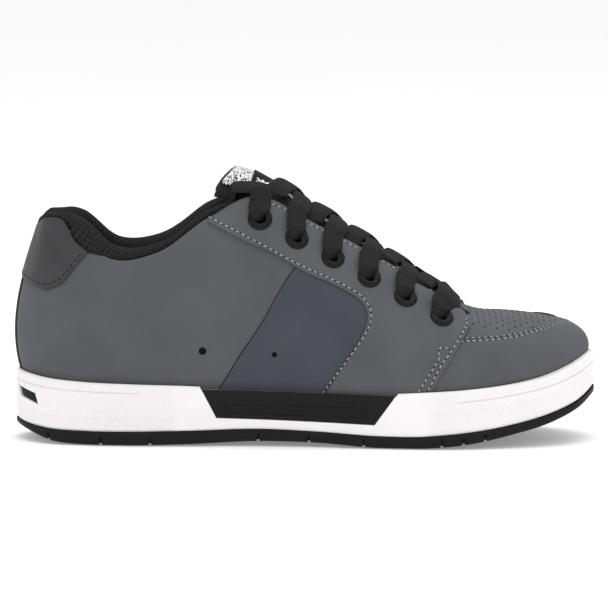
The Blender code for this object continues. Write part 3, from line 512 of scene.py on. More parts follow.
def thicken(piece, thickness, rounding=0.0, segments=2, inner_material=0):
    """Give a sheet its thickness below its face, and round its edges."""
    apply_modifier(piece, "SOLIDIFY", thickness=thickness, offset=-1.0,
                   use_even_offset=True, material_offset=inner_material)
    if rounding:
        apply_modifier(piece, "BEVEL", width=rounding, segments=segments,
                       limit_method="ANGLE", angle_limit=math.radians(50),
                       offset_type="OFFSET", use_clamp_overlap=True)


def cut(piece, cutter, operation="DIFFERENCE"):
    apply_modifier(piece, "BOOLEAN", object=cutter, operation=operation, solver="EXACT")


def remove(piece):
    select_only(piece)
    bpy.ops.object.delete()


def joined(name, pieces):
    select_only(*pieces)
    bpy.ops.object.join()
    piece = bpy.context.object
    piece.name = piece.data.name = name
    return piece


def finish_piece(piece, materials, slot, *nodes, angle=35):
    """Shade a piece, give it its materials and tie it to the solids it stands for."""
    select_only(piece)
    bpy.ops.object.shade_smooth_by_angle(angle=math.radians(angle))
    for index, material in enumerate(materials):
        if index < len(piece.data.materials):
            piece.data.materials[index] = material
        else:
            piece.data.materials.append(material)
    if nodes:
        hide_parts(*nodes)
    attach(piece, "root")
    return piece


# Powers that flatten a round section across and up: 1 keeps it round
SECTION_POWERS = (0.75, 0.8)


def sweep(name, path, up, wide, thick, sides=16):
    """Strap or cord along a path: up leads each section, wide and thick are half sizes."""
    forward = unit(np.gradient(path, axis=0))
    side = unit(np.cross(forward, up))
    up = np.cross(side, forward)
    wide = np.broadcast_to(np.asarray(wide, float), (len(path),)).copy()
    thick = np.broadcast_to(np.asarray(thick, float), (len(path),)).copy()
    ends = np.array([0] + list(range(len(path))) + [len(path) - 1])
    path, side, up, wide, thick = (values[ends] for values in (path, side, up, wide, thick))
    wide[[0, -1]] = thick[[0, -1]] = 0.0
    angle = np.linspace(0, 2 * math.pi, sides + 1)
    c, s = np.cos(angle), np.sin(angle)
    c, s = (np.sign(part) * abs(part) ** power for part, power in zip((c, s), SECTION_POWERS))
    points = (path[None] + side[None] * c[:, None, None] * wide[None, :, None]
              + up[None] * s[:, None, None] * thick[None, :, None])
    return weld(add_sheet(name, points))


def scatter(name, template, frames):
    """One mesh of copies of a small shape, which is then removed."""
    count = len(template.data.vertices)
    shape = np.empty(count * 3)
    template.data.vertices.foreach_get("co", shape)
    shape = np.concatenate((shape.reshape(-1, 3), np.ones((count, 1))), axis=1)
    faces = [tuple(face.vertices) for face in template.data.polygons]
    points = np.einsum("nij,kj->nki", np.array(frames), shape)[..., :3].reshape(-1, 3)
    copies = [tuple(index + count * copy for index in face)
              for copy in range(len(frames)) for face in faces]
    remove(template)
    mesh = bpy.data.meshes.new(name)
    mesh.from_pydata(points.tolist(), [], copies)
    piece = bpy.data.objects.new(name, mesh)
    bpy.context.scene.collection.objects.link(piece)
    return piece


def frames_on(points, ways, normals, size):
    """Placing matrices with x along a way and z along a normal."""
    ways = unit(ways - normals * (ways * normals).sum(axis=1, keepdims=True))
    across = np.cross(normals, ways)
    frames = np.zeros((len(points), 4, 4))
    for index, axis in enumerate((ways, across, normals)):
        frames[:, :3, index] = axis * size[index]
    frames[:, :3, 3] = points
    frames[:, 3, 3] = 1
    return frames


# Finishes
class Finish:
    """Node tree of one material, written as short calls."""

    def __init__(self, name, colour, roughness):
        self.material = bpy.data.materials.new(name)
        self.material.use_nodes = True
        self.material.diffuse_color = (*colour, 1.0)
        self.nodes = self.material.node_tree.nodes
        self.shader = self.nodes["Principled BSDF"]
        self.set(**{"Base_Color": (*colour, 1.0), "Roughness": roughness})

    def put(self, socket, value):
        if isinstance(value, bpy.types.NodeSocket):
            self.material.node_tree.links.new(value, socket)
        elif isinstance(value, tuple) and len(value) == 3 and socket.type == "RGBA":
            socket.default_value = (*value, 1.0)
        else:
            socket.default_value = value

    def set(self, **values):
        for name, value in values.items():
            self.put(self.shader.inputs[name.replace("_", " ")], value)

    def add(self, kind, output=0, **values):
        node = self.nodes.new("ShaderNode" + kind)
        for name, value in values.items():
            label = name.replace("_", " ")
            if label in node.inputs:
                self.put(node.inputs[label], value)
            else:
                setattr(node, name, value)
        return node.outputs[output]

    def place(self):
        return self.add("TexCoord", "Object")

    def map(self):
        return self.add("UVMap", "UV", uv_map="UVMap")

    def mapped(self, vector, scale=(1, 1, 1), turn=(0, 0, 0)):
        return self.add("Mapping", Vector=vector, Scale=scale, Rotation=turn)

    def math(self, operation, a, b=0.0, c=0.0):
        node = self.nodes.new("ShaderNodeMath")
        node.operation = operation
        for socket, value in zip(node.inputs, (a, b, c)):
            self.put(socket, value)
        return node.outputs[0]

    def parts(self, vector):
        node = self.nodes.new("ShaderNodeSeparateXYZ")
        self.put(node.inputs[0], vector)
        return node.outputs

    def noise(self, vector, scale, detail=2.0, rough=0.5):
        return self.add("TexNoise", "Fac", Vector=vector, Scale=scale, Detail=detail,
                        Roughness=rough)

    def level(self, value, low, high, to_low=0.0, to_high=1.0):
        node = self.nodes.new("ShaderNodeMapRange")
        for name, number in (("Value", value), ("From Min", low), ("From Max", high),
                             ("To Min", to_low), ("To Max", to_high)):
            self.put(node.inputs[name], number)
        return node.outputs[0]

    def mix(self, share, a, b):
        node = self.nodes.new("ShaderNodeMix")
        node.data_type = "RGBA"
        for index, value in ((0, share), (6, a), (7, b)):
            self.put(node.inputs[index], value)
        return node.outputs[2]

    def bump(self, height, distance, strength=1.0, normal=None):
        values = {"Height": height, "Distance": distance, "Strength": strength}
        if normal is not None:
            values["Normal"] = normal
        return self.add("Bump", "Normal", **values)


def shade(colour, factor):
    return tuple(min(channel * factor, 1.0) for channel in colour)


def nubuck(name, colour):
    """Fine buffed leather: soft clouds, a short nap and a faint sheen."""
    finish = Finish(name, colour, 0.86)
    place = finish.place()
    clouds = finish.noise(place, 34.0, 3.0)
    nap = finish.noise(place, 2300.0, 3.0, 0.65)
    tone = finish.mix(finish.level(clouds, 0.33, 0.67), shade(colour, 0.90),
                      shade(colour, 1.09))
    tone = finish.mix(finish.level(nap, 0.35, 0.65, 0.0, 0.30), tone, shade(colour, 1.45))
    finish.set(Base_Color=tone, Sheen_Weight=0.05, Sheen_Roughness=0.4,
               Specular_IOR_Level=0.25)
    finish.set(Normal=finish.bump(nap, 0.00012, 0.5))
    return finish.material


def smooth_leather(name, colour):
    finish = Finish(name, colour, 0.5)
    place = finish.place()
    grain = finish.add("TexVoronoi", "Distance", Vector=place, Scale=1500.0)
    clouds = finish.noise(place, 60.0)
    finish.set(Base_Color=finish.mix(finish.level(clouds, 0.3, 0.7), shade(colour, 0.85),
                                     shade(colour, 1.15)))
    finish.set(Roughness=finish.level(clouds, 0.3, 0.7, 0.45, 0.6))
    finish.set(Normal=finish.bump(grain, 0.0001, 0.35), Specular_IOR_Level=0.3)
    return finish.material


def air_mesh(name, colour):
    """Knitted lining: rows of small ovals over a dark ground, on the piece's own map."""
    finish = Finish(name, colour, 0.9)
    knit = finish.add("TexBrick", "Fac", Vector=finish.map(), Scale=1.0, offset=0.5,
                      Brick_Width=0.0026, Row_Height=0.0014, Mortar_Size=0.00042,
                      Mortar_Smooth=1.0)
    fibre = finish.noise(finish.place(), 2600.0, 2.0)
    # Open ground between the ovals darkened with painted shade, raised ovals lightened as
    # painted highlight
    tone = finish.mix(knit, shade(colour, 1.9), shade(colour, 0.25))
    finish.set(Base_Color=finish.mix(finish.level(fibre, 0.3, 0.7, 0.0, 0.5), tone,
                                     shade(colour, 0.6)))
    relief = finish.math("SUBTRACT", finish.math("MULTIPLY", fibre, 0.3), knit)
    finish.set(Normal=finish.bump(relief, 0.0006, 0.8), Specular_IOR_Level=0.12)
    return finish.material


def soft_rubber(name, colour, roughness, grain_scale=1400.0, grain=0.25):
    finish = Finish(name, colour, roughness)
    place = finish.place()
    specks = finish.noise(place, grain_scale, 2.0)
    clouds = finish.noise(place, 45.0)
    finish.set(Base_Color=finish.mix(finish.level(clouds, 0.35, 0.65), shade(colour, 0.97),
                                     shade(colour, 1.03)))
    finish.set(Normal=finish.bump(specks, 0.0001, grain), Specular_IOR_Level=0.12)
    return finish.material


def cup_rubber(name, colour):
    """White cupsole rubber, with fine diagonal hatching on its two lower bands."""
    finish = Finish(name, colour, 0.5)
    place = finish.place()
    x, _, z = finish.parts(place)
    wall = finish.parts(finish.map())[1]
    hatch = finish.math("SINE", finish.math("MULTIPLY", finish.math("ADD", x, z), 5200.0))
    heel = finish.math("MULTIPLY", finish.level(x, -0.066, -0.068),
                       finish.level(wall, 0.28, 0.26))
    toe = finish.math("MULTIPLY", finish.level(x, 0.062, 0.066),
                      finish.level(wall, 0.52, 0.50))
    hatch = finish.math("MULTIPLY", hatch, finish.math("MAXIMUM", heel, toe))
    specks = finish.noise(place, 900.0)
    fine = finish.bump(specks, 0.0001, 0.2)
    clouds = finish.noise(place, 30.0)
    finish.set(Base_Color=finish.mix(finish.level(clouds, 0.35, 0.65), shade(colour, 0.975),
                                     shade(colour, 1.0)))
    finish.set(Normal=finish.bump(hatch, 0.00012, 0.6, fine))
    return finish.material


def lace_weave(name, colour):
    """Flat braid: slanted ribs that meet in the middle, on the lace's own map."""
    finish = Finish(name, colour, 0.85)
    along, across, _ = finish.parts(finish.map())
    fold = finish.math("PINGPONG", across, 0.0052)
    slant = finish.math("ADD", along, fold)
    ribs = finish.math("SINE", finish.math("MULTIPLY", slant, 3900.0))
    strands = finish.math("SINE", finish.math("MULTIPLY", across, 6500.0))
    weave = finish.math("MULTIPLY_ADD", strands, 0.35, ribs)
    # Colour follows the braid's relief: painted shade in its grooves, painted highlight on
    # its ribs
    tone = finish.mix(finish.level(weave, -1.2, 1.2), shade(colour, 0.45), shade(colour, 2.1))
    finish.set(Base_Color=tone, Specular_IOR_Level=0.1,
               Normal=finish.bump(weave, 0.00025, 0.8))
    return finish.material


def fleck_weave(name, dark, light):
    """Cloth with broken light strokes over black: a plain speckled ground."""
    finish = Finish(name, dark, 0.85)
    place = finish.map()
    threads = finish.add("TexWave", "Fac", Vector=finish.mapped(place, turn=(0, 0, 0.8)),
                         Scale=420.0, Distortion=1.5, Detail=1.0, Detail_Scale=3.0)
    strokes = [finish.noise(finish.mapped(place, scale=scale, turn=(0, 0, turn)), 520.0,
                            2.0, 0.6)
               for scale, turn in (((1.0, 3.2, 1.0), 0.5), ((2.8, 1.0, 1.0), 0.3))]
    share = finish.level(finish.math("MAXIMUM", *strokes), 0.505, 0.535)
    finish.set(Base_Color=finish.mix(share, dark, light), Specular_IOR_Level=0.15)
    finish.set(Normal=finish.bump(threads, 0.0002, 0.4))
    return finish.material


def badge_weave(name, dark, light):
    """Woven badge: a plain eight-armed star of light thread and a small red tab."""
    finish = Finish(name, dark, 0.8)
    u, v, _ = finish.parts(finish.map())
    du = finish.math("ABSOLUTE", finish.math("SUBTRACT", u, 0.0058))
    dv = finish.math("ABSOLUTE", finish.math("SUBTRACT", v, 0.0046))
    slant = finish.math("ABSOLUTE", finish.math("SUBTRACT", du, dv))
    arms = finish.math("MINIMUM", finish.math("MINIMUM", du, dv), slant)
    ring = finish.math("MAXIMUM", du, dv)
    star = finish.math("MULTIPLY", finish.level(arms, 0.0008, 0.0006),
                       finish.level(ring, 0.0036, 0.0034))
    tab = finish.math("MULTIPLY", finish.level(u, 0.0098, 0.0100), finish.level(
        finish.math("ABSOLUTE", finish.math("SUBTRACT", v, 0.0120)), 0.0019, 0.0017))
    cloth = finish.mix(star, dark, light)
    finish.set(Base_Color=finish.mix(tab, cloth, srgb(214, 62, 76)))
    threads = finish.math("SINE", finish.math("MULTIPLY", v, 9000.0))
    finish.set(Normal=finish.bump(threads, 0.0001, 0.5), Specular_IOR_Level=0.15)
    return finish.material


def plain_cloth(name, colour):
    finish = Finish(name, colour, 0.9)
    weave = finish.noise(finish.place(), 1800.0, 2.0)
    finish.set(Base_Color=finish.mix(finish.level(weave, 0.35, 0.65), shade(colour, 0.7),
                                     shade(colour, 1.3)))
    finish.set(Normal=finish.bump(weave, 0.0002, 0.6), Specular_IOR_Level=0.12)
    return finish.material


def pale_floor(name):
    finish = Finish(name, (0.92, 0.92, 0.92), 0.7)
    mottle = finish.noise(finish.place(), 3.0)
    finish.set(Base_Color=finish.mix(mottle, (0.90, 0.90, 0.90), (0.94, 0.94, 0.94)),
               Emission_Color=(1.0, 1.0, 1.0), Emission_Strength=0.22)
    return finish.material


def size_of(label, text, value, low, high):
    return FloatProperty(name=label, description=text, default=value, min=low, max=high,
                         unit="LENGTH")


class ShoeSizes(bpy.types.PropertyGroup):
    overlay: size_of("Overlay", "Thickness of the stitched leather", 0.0013, 0.0005, 0.003)
    panel: size_of("Side panel", "Thickness of the side panel", 0.0006, 0.0002, 0.002)
    stitch_pitch: size_of("Stitch pitch", "From stitch to stitch", 0.0032, 0.001, 0.006)
    stitch_length: size_of("Stitch length", "Thread seen of a stitch", 0.0021, 0.0005, 0.005)
    thread: size_of("Thread", "Thickness of the thread", 0.0005, 0.0002, 0.001)
    lace_width: size_of("Lace width", "Width of the flat lace", 0.0112, 0.004, 0.014)
    lace_thickness: size_of("Lace thickness", "Thickness of the lace", 0.0021, 0.0008, 0.004)
    eyelet: size_of("Eyelet", "Outer diameter of an eyelet", 0.0127, 0.008, 0.016)
    bore: size_of("Eyelet hole", "Diameter of an eyelet's hole", 0.0060, 0.004, 0.008)
    hole: size_of("Air hole", "Diameter of a punched air hole", 0.00125, 0.0005, 0.002)
    fineness: IntProperty(name="Fineness", description="Steps of the upper round the shoe",
                          default=520, min=120, max=700)


def colour_of(label, text, value):
    return FloatVectorProperty(name=label, description=text, default=value, size=3,
                               min=0.0, max=1.0, subtype="COLOR")


class ShoeColours(bpy.types.PropertyGroup):
    grey: colour_of("Grey nubuck", "Upper, eyestay and vamp", srgb(83, 84, 88))
    blue: colour_of("Blue-grey nubuck", "Side panel", srgb(66, 69, 76))
    leather: colour_of("Dark leather", "Heel patch, back strip and toe patch",
                       srgb(58, 57, 59))
    mesh: colour_of("Collar mesh", "Padded collar and lining", srgb(38, 37, 38))
    white: colour_of("Cup rubber", "Cupsole", srgb(242, 238, 239))
    black: colour_of("Black rubber", "Outsole and inserts", srgb(26, 26, 27))
    lace: colour_of("Lace", "Laces", srgb(34, 34, 35))
    thread: colour_of("Thread", "Light stitching", srgb(172, 171, 174))
    ground: colour_of("Tongue ground", "Dark ground of the tongue", srgb(20, 20, 21))
    fleck: colour_of("Tongue fleck", "Light threads of the tongue", srgb(236, 236, 236))
    foam: colour_of("Insole", "Cover of the insole", srgb(66, 66, 70))


def sizes():
    return bpy.context.scene.shoe_sizes


# How each finish is made: its function, then colours of the panel or plain values
FINISHES = {
    "grey_nubuck": (nubuck, "grey"),
    "blue_nubuck": (nubuck, "blue"),
    "dark_leather": (smooth_leather, "leather"),
    "collar_mesh": (air_mesh, "mesh"),
    "lining_cloth": (plain_cloth, "ground"),
    "cup_rubber": (cup_rubber, "white"),
    "black_rubber": (soft_rubber, "black", 0.55),
    "eyelet_rubber": (soft_rubber, "black", 0.42, 2200.0, 0.4),
    "lace_braid": (lace_weave, "lace"),
    "light_thread": (plain_cloth, "thread"),
    "dark_thread": (plain_cloth, "ground"),
    # Near-black of painted shade, laid in needle holes, air holes, vents and the panel's seam
    # groove
    "hole_dark": (plain_cloth, (0.004, 0.004, 0.004)),
    "tongue_weave": (fleck_weave, "ground", "fleck"),
    "badge_cloth": (badge_weave, "ground", "fleck"),
    "insole_cover": (plain_cloth, "foam"),
}


def finish_of(name):
    """The finish of one name, made when it is first asked for."""
    label = "finish_" + name
    if label not in bpy.data.materials:
        colours = bpy.context.scene.shoe_colours
        maker, *values = FINISHES[name]
        maker(label, *(tuple(getattr(colours, value)) if isinstance(value, str) else value
                       for value in values))
    return bpy.data.materials[label]


# Pieces of the sole
STATIONS = np.linspace(0.0, 1.0, 261)


def bridge(start, end, steps):
    """Points between two edges, without the edges themselves."""
    share = np.linspace(0, 1, steps + 1)[1:-1][None, :, None]
    return start[:, None] * (1 - share) + end[:, None] * share


def loft_across(name, half, low_steps, high_steps):
    """Closed solid of the sole from half sections, each from its low to its high edge."""
    near, far = half(STATIONS), half(2.0 - STATIONS)
    low = bridge(far[:, 0], near[:, 0], low_steps)
    high = bridge(near[:, -1], far[:, -1], high_steps)
    loop = np.concatenate((near, high, far[:, ::-1], low, near[:, :1]), axis=1)
    return weld(add_sheet(name, loop))


# Share of the outsole's height and inset from its outline
OUTSOLE_SECTION = ((0.0, 0.0032), (0.04, 0.0018), (0.14, 0.0008), (0.30, 0.0002),
                   (0.55, 0.0), (0.95, 0.0), (1.0, 0.0004))


def outsole_half(ring):
    _, _, split, base = sole_heights(ring)
    return np.stack([cup_point(ring, base + share * (split - base), inset)
                     for share, inset in OUTSOLE_SECTION], axis=1)


def add_block(name, low, high):
    """Cube primitive between two corners."""
    low, high = Vector(low), Vector(high)
    bpy.ops.object.select_all(action="DESELECT")
    bpy.ops.mesh.primitive_cube_add(size=1, location=(low + high) / 2)
    block = bpy.context.object
    block.name = name
    block.scale = high - low
    bpy.ops.object.transform_apply(location=True, rotation=True, scale=True)
    return block


SLOT_WIDTH = 0.0016
SLOT_HEIGHT = 0.0042
SLOT_DEPTH = 0.0016
SLOT_UNDER = 0.0012
SLOT_BELOW = 0.004


def tread_cutter():
    """Staples across the sole: shallow under it and tall at both sides."""
    blocks = []
    reach = 0.6 * BALL_WIDTH
    for along in TREAD_SLOTS:
        x = across_x(along)
        w = place_along(np.array(x))
        base = float(sole_heights(w)[3])
        for ring, sign in ((w, -1), (2.0 - w, 1)):
            edge = abs(float(OUTLINE.at(ring)[1])) - SLOT_DEPTH
            ends = sorted((sign * edge, sign * reach))
            blocks.append(add_block("side", (x - SLOT_WIDTH / 2, ends[0], base - SLOT_BELOW),
                                    (x + SLOT_WIDTH / 2, ends[1], base + SLOT_HEIGHT)))
        blocks.append(add_block("under", (x - SLOT_WIDTH / 2, -reach, base - SLOT_BELOW),
                                (x + SLOT_WIDTH / 2, reach, base + SLOT_UNDER)))
    return blocks


def build_outsole():
    outsole = loft_across("outsole_tread", outsole_half, 24, 8)
    for block in tread_cutter():
        cut(outsole, block)
        remove(block)
    return finish_piece(outsole, [finish_of("black_rubber")], "black_rubber", "outsole")


GROOVE_DEPTH = 0.0007
LEDGE_DEPTH = 0.0005
FOOT_DEPTH = 0.0008
LIP_DEPTH = 0.0004
# Drop from the rim and inset at the rounded top of the wall
RIM_SECTION = ((0.0011, 0.0004), (0.0006, 0.0006), (0.0002, 0.0010), (0.0, 0.0016))


def wall_shares(ring):
    """Rows of the cup's side wall as shares of its height, closer at its two lines."""
    groove, ledge = np.moveaxis(LINES.at(ring), -1, 0)
    rows = [np.zeros(ring.shape)]
    rows += [(ledge - 0.04) * share for share in (0.05, 0.15, 0.35, 0.6, 0.85)]
    rows += [ledge + step for step in (-0.04, -0.02, -0.008, 0.008, 0.02, 0.04)]
    rows += [ledge + 0.04 + (groove - ledge - 0.08) * share for share in (0.3, 0.6, 0.9)]
    rows += [groove + step for step in (-0.03, -0.018, -0.009, 0.0, 0.009, 0.018, 0.03)]
    rows += [groove + 0.03 + (0.95 - groove - 0.03) * share for share in (0.3, 0.6, 0.85)]
    return rows, groove, ledge


def wall_inset(x, share, groove, ledge):
    """Depth of the wall's relief: the drawn line above and the hatched step below."""
    groove_run = np.maximum(1 - ease(x, -0.087, -0.082), ease(x, 0.0755, 0.080))
    ledge_run = np.maximum(1 - ease(x, -0.070, -0.066), ease(x, 0.060, 0.066))
    line = GROOVE_DEPTH * np.exp(-((share - groove) / 0.011) ** 2) * groove_run
    step = LEDGE_DEPTH * (1 - ease(share, ledge - 0.01, ledge + 0.01)) * ledge_run
    foot = FOOT_DEPTH * (1 - ease(share, 0.0, 0.04))
    return line + step + foot + LIP_DEPTH * ease(share, 0.6, 1.0)


def midsole_half(ring):
    rim, floor, split, _ = sole_heights(ring)
    x = OUTLINE.at(ring)[..., 0]
    foot = split + GAP
    shares, groove, ledge = wall_shares(ring)
    rows = [cup_point(ring, foot + share * (rim - foot), wall_inset(x, share, groove, ledge))
            for share in shares]
    rows += [cup_point(ring, rim - drop, inset) for drop, inset in RIM_SECTION]
    top = share_at_height(ring, rim - 0.0003)
    for share in (1.0, 0.75, 0.5, 0.25, 0.0):
        point = skin(ring, top * share, GAP)
        point[..., 2] = np.maximum(point[..., 2], floor - GAP)
        rows.append(point)
    return np.stack(rows, axis=1)


def wall_patch(name, corners, side, inset, steps, relief=None):
    """Sheet on the cup's side wall between four side-view corners."""
    corners = np.array(corners) * MM
    columns, rows = steps
    low = smooth_line(corners[[0, 1]], columns)
    high = smooth_line(corners[[3, 2]], columns)
    left = smooth_line(corners[[0, 3]], rows)
    right = smooth_line(corners[[1, 2]], rows)
    places = between_edges(low, high, left, right)
    ring = place_along(places[..., 0])
    if side == "outer":
        ring = 2.0 - ring[:, ::-1]
        places = places[:, ::-1]
    depth = inset if relief is None else inset + relief(places)
    return add_sheet(name, cup_point(ring, places[..., 1], depth))


def grown_corners(corners, amount):
    corners = np.array(corners, float)
    middle = corners.mean(axis=0)
    return [tuple(corner + np.sign(corner - middle) * amount) for corner in corners]


CUTTER_GROWTH = 0.25
CUTTER_START = 0.003
RECESSES = (("arch", ARCH_CORNERS, 0.0020), ("above_arch", ARCH_OPENING, 0.0070),
            ("heel", WINDOW_CORNERS, 0.0020))


def recess_cutter(name, corners, side, depth):
    """Block of the wall from outside it to a depth, for one insert."""
    piece = wall_patch(name, grown_corners(corners, CUTTER_GROWTH), side, -CUTTER_START,
                       (40, 8))
    apply_modifier(piece, "SOLIDIFY", thickness=depth + CUTTER_START, offset=-1.0)
    return piece


def build_midsole():
    midsole = loft_across("midsole_cup", midsole_half, 8, 12)
    for side in ("inner", "outer"):
        for name, corners, depth in RECESSES:
            cutter = recess_cutter(f"{name}_cutter", corners, side, depth)
            cut(midsole, cutter)
            remove(cutter)
    return finish_piece(midsole, [finish_of("cup_rubber")], "white_rubber", "midsole")


ARCH_SLOT_DEPTH = 0.0010


def arch_relief(places):
    """Long slot in the arch insert, with a soft edge."""
    gap = outline_distance(places, np.array(ARCH_SLOT) * MM)
    return ARCH_SLOT_DEPTH * (1 - ease(gap, -0.0004, 0.0003))


def build_inserts():
    for side in ("inner", "outer"):
        arch = wall_patch(f"arch_insert_{side}", ARCH_CORNERS, side, 0.0003, (190, 34),
                          arch_relief)
        thicken(arch, 0.0014, 0.0005)
        finish_piece(arch, [finish_of("black_rubber")], "black_rubber",
                     f"arch_panel_{side}")
        window = wall_patch(f"heel_insert_{side}", WINDOW_CORNERS, side, 0.0009, (20, 12))
        thicken(window, 0.0009, 0.0003)
        finish_piece(window, [finish_of("black_rubber")], "black_rubber",
                     f"heel_window_{side}")


# Pieces of the upper
def eyelet_places():
    share = np.linspace(0, 1, EYELET_COUNT)
    x = across_x(EYELET_TOP[0] + (EYELET_FRONT[0] - EYELET_TOP[0]) * share)
    z = UPPER_HEIGHT * (EYELET_TOP[1] + (EYELET_FRONT[1] - EYELET_TOP[1]) * share)
    return places_of(np.stack((x, z), axis=1))


EYELET_PLACES = eyelet_places()
BORE_PLAY = 0.0006


def eyelet_frames():
    """Name, centre, outward normal and way up the rib of every eyelet."""
    found = []
    for index, (w, v) in enumerate(EYELET_PLACES):
        for side, ring in (("inner", w), ("outer", 2.0 - w)):
            point, normal, up = form_frame(ring, v)
            found.append((f"{side}_{index + 1}", point, normal, up))
    return found


def punch(piece, diameter, side=None):
    """Cut the lace holes through a piece."""
    for name, point, normal, _ in eyelet_frames():
        if side and not name.startswith(side):
            continue
        bpy.ops.object.select_all(action="DESELECT")
        bpy.ops.mesh.primitive_cylinder_add(
            vertices=28, radius=diameter / 2, depth=0.014, location=point,
            rotation=Vector(normal).to_track_quat("Z", "Y").to_euler())
        pin = bpy.context.object
        cut(piece, pin)
        remove(pin)


def build_upper():
    ring = np.linspace(0.0, 2.0, sizes().fineness + 1)
    share = np.linspace(0.0, 1.0, 84)
    w, v = np.meshgrid(ring, share)
    upper = weld(add_sheet("upper_shell", skin(w, v)), outward=False)
    upper.data.materials.append(finish_of("grey_nubuck"))
    upper.data.materials.append(finish_of("lining_cloth"))
    thicken(upper, WALL, inner_material=1)
    punch(upper, sizes().bore + BORE_PLAY)
    return finish_piece(upper, [finish_of("grey_nubuck"), finish_of("lining_cloth")],
                        "grey_nubuck", "upper")


def turned(places, side):
    """Places of an inner-side layer, or the same ones of the outer side."""
    if side == "inner":
        return places
    places = places[:, ::-1].copy()
    places[..., 0] = 2.0 - places[..., 0]
    return places


def rim_shares(w):
    """Shares of the ribs at the cup's rim, and lower behind the arch insert."""
    x = OUTLINE.at(np.minimum(w, 2.0 - w))[..., 0]
    behind = ease(x, -0.058, -0.050) * (1 - ease(x, 0.044, 0.052))
    return share_at_height(w, sole_heights(w)[0] + 0.0002 - 0.0042 * behind)


def on_rim(places):
    """Places moved along their ribs to just above the rim."""
    return np.stack((places[:, 0], rim_shares(places[:, 0])), axis=1)


def throat_places(x):
    """Places on the throat's edge of the inner side at side-view distances, in metres."""
    x = np.asarray(x, float)
    w = halved(np.full(x.shape, 0.30), np.full(x.shape, 0.985),
               lambda ring: rib_point(ring, 1.0)[..., 0] < x, 26)
    return np.stack((w, np.full(x.shape, LAYER_HEAD)), axis=1)


def leather(name, places, thickness, lift=GAP):
    """Sheet of leather on the upper over a grid of places."""
    return add_sheet(name, skin(places[..., 0], places[..., 1], lift + thickness))


FRONT_TOP_X = 0.0775
FRONT_TURN = ((83.6, 60.4), (84.0, 62.0), (82.6, 64.2))


# Steps of the grids: along the eyelets, ahead of them, across the strip and up the quarter
STAY_STEPS = 110
FRONT_STEPS = 62
STAY_ROWS = 30
QUARTER_ROWS = 44


def eyestay_grids():
    """Grids of the lace row's strip and of the front quarter below it."""
    low = side_places(EYESTAY_LOW)
    low[0] = throat_places(np.array([EYESTAY_LOW[0][0] * MM]))[0]
    high = throat_places(np.array(EYESTAY_HIGH_X) * MM)
    back_low, back_high = smooth_line(low, STAY_STEPS), smooth_line(high, STAY_STEPS)
    front = side_places(QUARTER_FRONT)
    front_low = smooth_line([low[-1], front[-1]], FRONT_STEPS)[1:]
    front_high = throat_places(np.linspace(EYESTAY_HIGH_X[-1] * MM, FRONT_TOP_X,
                                           FRONT_STEPS)[1:])
    strip_low = np.concatenate((back_low, front_low))
    strip_high = np.concatenate((back_high, front_high))
    left = smooth_line([strip_low[0], strip_high[0]], STAY_ROWS)
    right = smooth_line(np.concatenate((side_places(FRONT_TURN), strip_high[-1:])), STAY_ROWS)
    right = drawn_to(right, strip_low[-1], 0)
    strip = between_edges(strip_low, strip_high, left, right)
    back = smooth_line(side_places(QUARTER_BACK), QUARTER_ROWS)
    fore = smooth_line(front, QUARTER_ROWS)
    foot = on_rim(smooth_line([back[0], fore[0]], FRONT_STEPS))
    quarter_top = np.concatenate((back_low[-1:], front_low))
    back = drawn_to(back - back[0] + foot[0], quarter_top[0], -1)
    fore = drawn_to(fore, foot[-1], 0)
    fore[-1] = quarter_top[-1]
    return strip, between_edges(foot, quarter_top, back, fore)


def build_eyestays():
    strip, quarter = eyestay_grids()
    for side in ("inner", "outer"):
        pieces = [leather(name, turned(grid, side), sizes().overlay)
                  for name, grid in (("strip", strip), ("quarter", quarter))]
        stay = weld(joined(f"eyestay_leather_{side}", pieces), outward=False)
        thicken(stay, sizes().overlay, 0.0004)
        punch(stay, sizes().bore + BORE_PLAY, side)
        finish_piece(stay, [finish_of("grey_nubuck")], "grey_nubuck", f"eyestay_{side}")


PANEL_LIFT = 0.0001
PANEL_ROWS = 60
PANEL_COLUMNS = 50


def build_panels():
    back = smooth_line(side_places(PANEL_BACK), PANEL_ROWS)
    fore = smooth_line(side_places(PANEL_FRONT), PANEL_ROWS)
    top = smooth_line(side_places(PANEL_TOP), PANEL_COLUMNS)
    foot = on_rim(smooth_line([back[0], fore[0]], PANEL_COLUMNS))
    back, fore = drawn_to(back, foot[0], 0), drawn_to(fore, foot[-1], 0)
    top = drawn_to(drawn_to(top, back[-1], 0), fore[-1], -1)
    places = between_edges(foot, top, back, fore)
    for side in ("inner", "outer"):
        panel = leather(f"panel_leather_{side}", turned(places, side), sizes().panel,
                        lift=PANEL_LIFT)
        thicken(panel, sizes().panel, 0.0002, 1)
        finish_piece(panel, [finish_of("blue_nubuck")], "blue_grey_nubuck",
                     f"side_panel_{side}")
        # Thin near-black cord along the panel's back edge: painted shadow of the seam's
        # groove
        seam = turned(back[None], side)[0]
        path = skin(seam[:, 0], seam[:, 1], sizes().panel * 0.55)
        _, normals, _ = form_frame(seam[:, 0], seam[:, 1])
        line = sweep(f"panel_seam_{side}", path, normals, 0.00032, 0.00022, sides=8)
        finish_piece(line, [finish_of("hole_dark")], "blue_grey_nubuck")


# Collar section: along the normal and up the rib from the wall's edge, in millimetres
COLLAR_SECTION = np.array((
    (-3.0, -30.0), (-3.0, -14.0), (-2.9, -6.0), (-2.75, -0.8), (-1.2, 0.5), (-0.2, 1.9),
    (-0.1, 3.9), (-1.4, 6.0), (-4.6, 7.0), (-8.0, 6.2), (-10.8, 3.4), (-12.4, -2.0),
    (-12.6, -8.0), (-11.4, -16.0), (-8.6, -24.0), (-5.0, -31.0), (-3.2, -34.0),
))
COLLAR_TAPER = 0.05
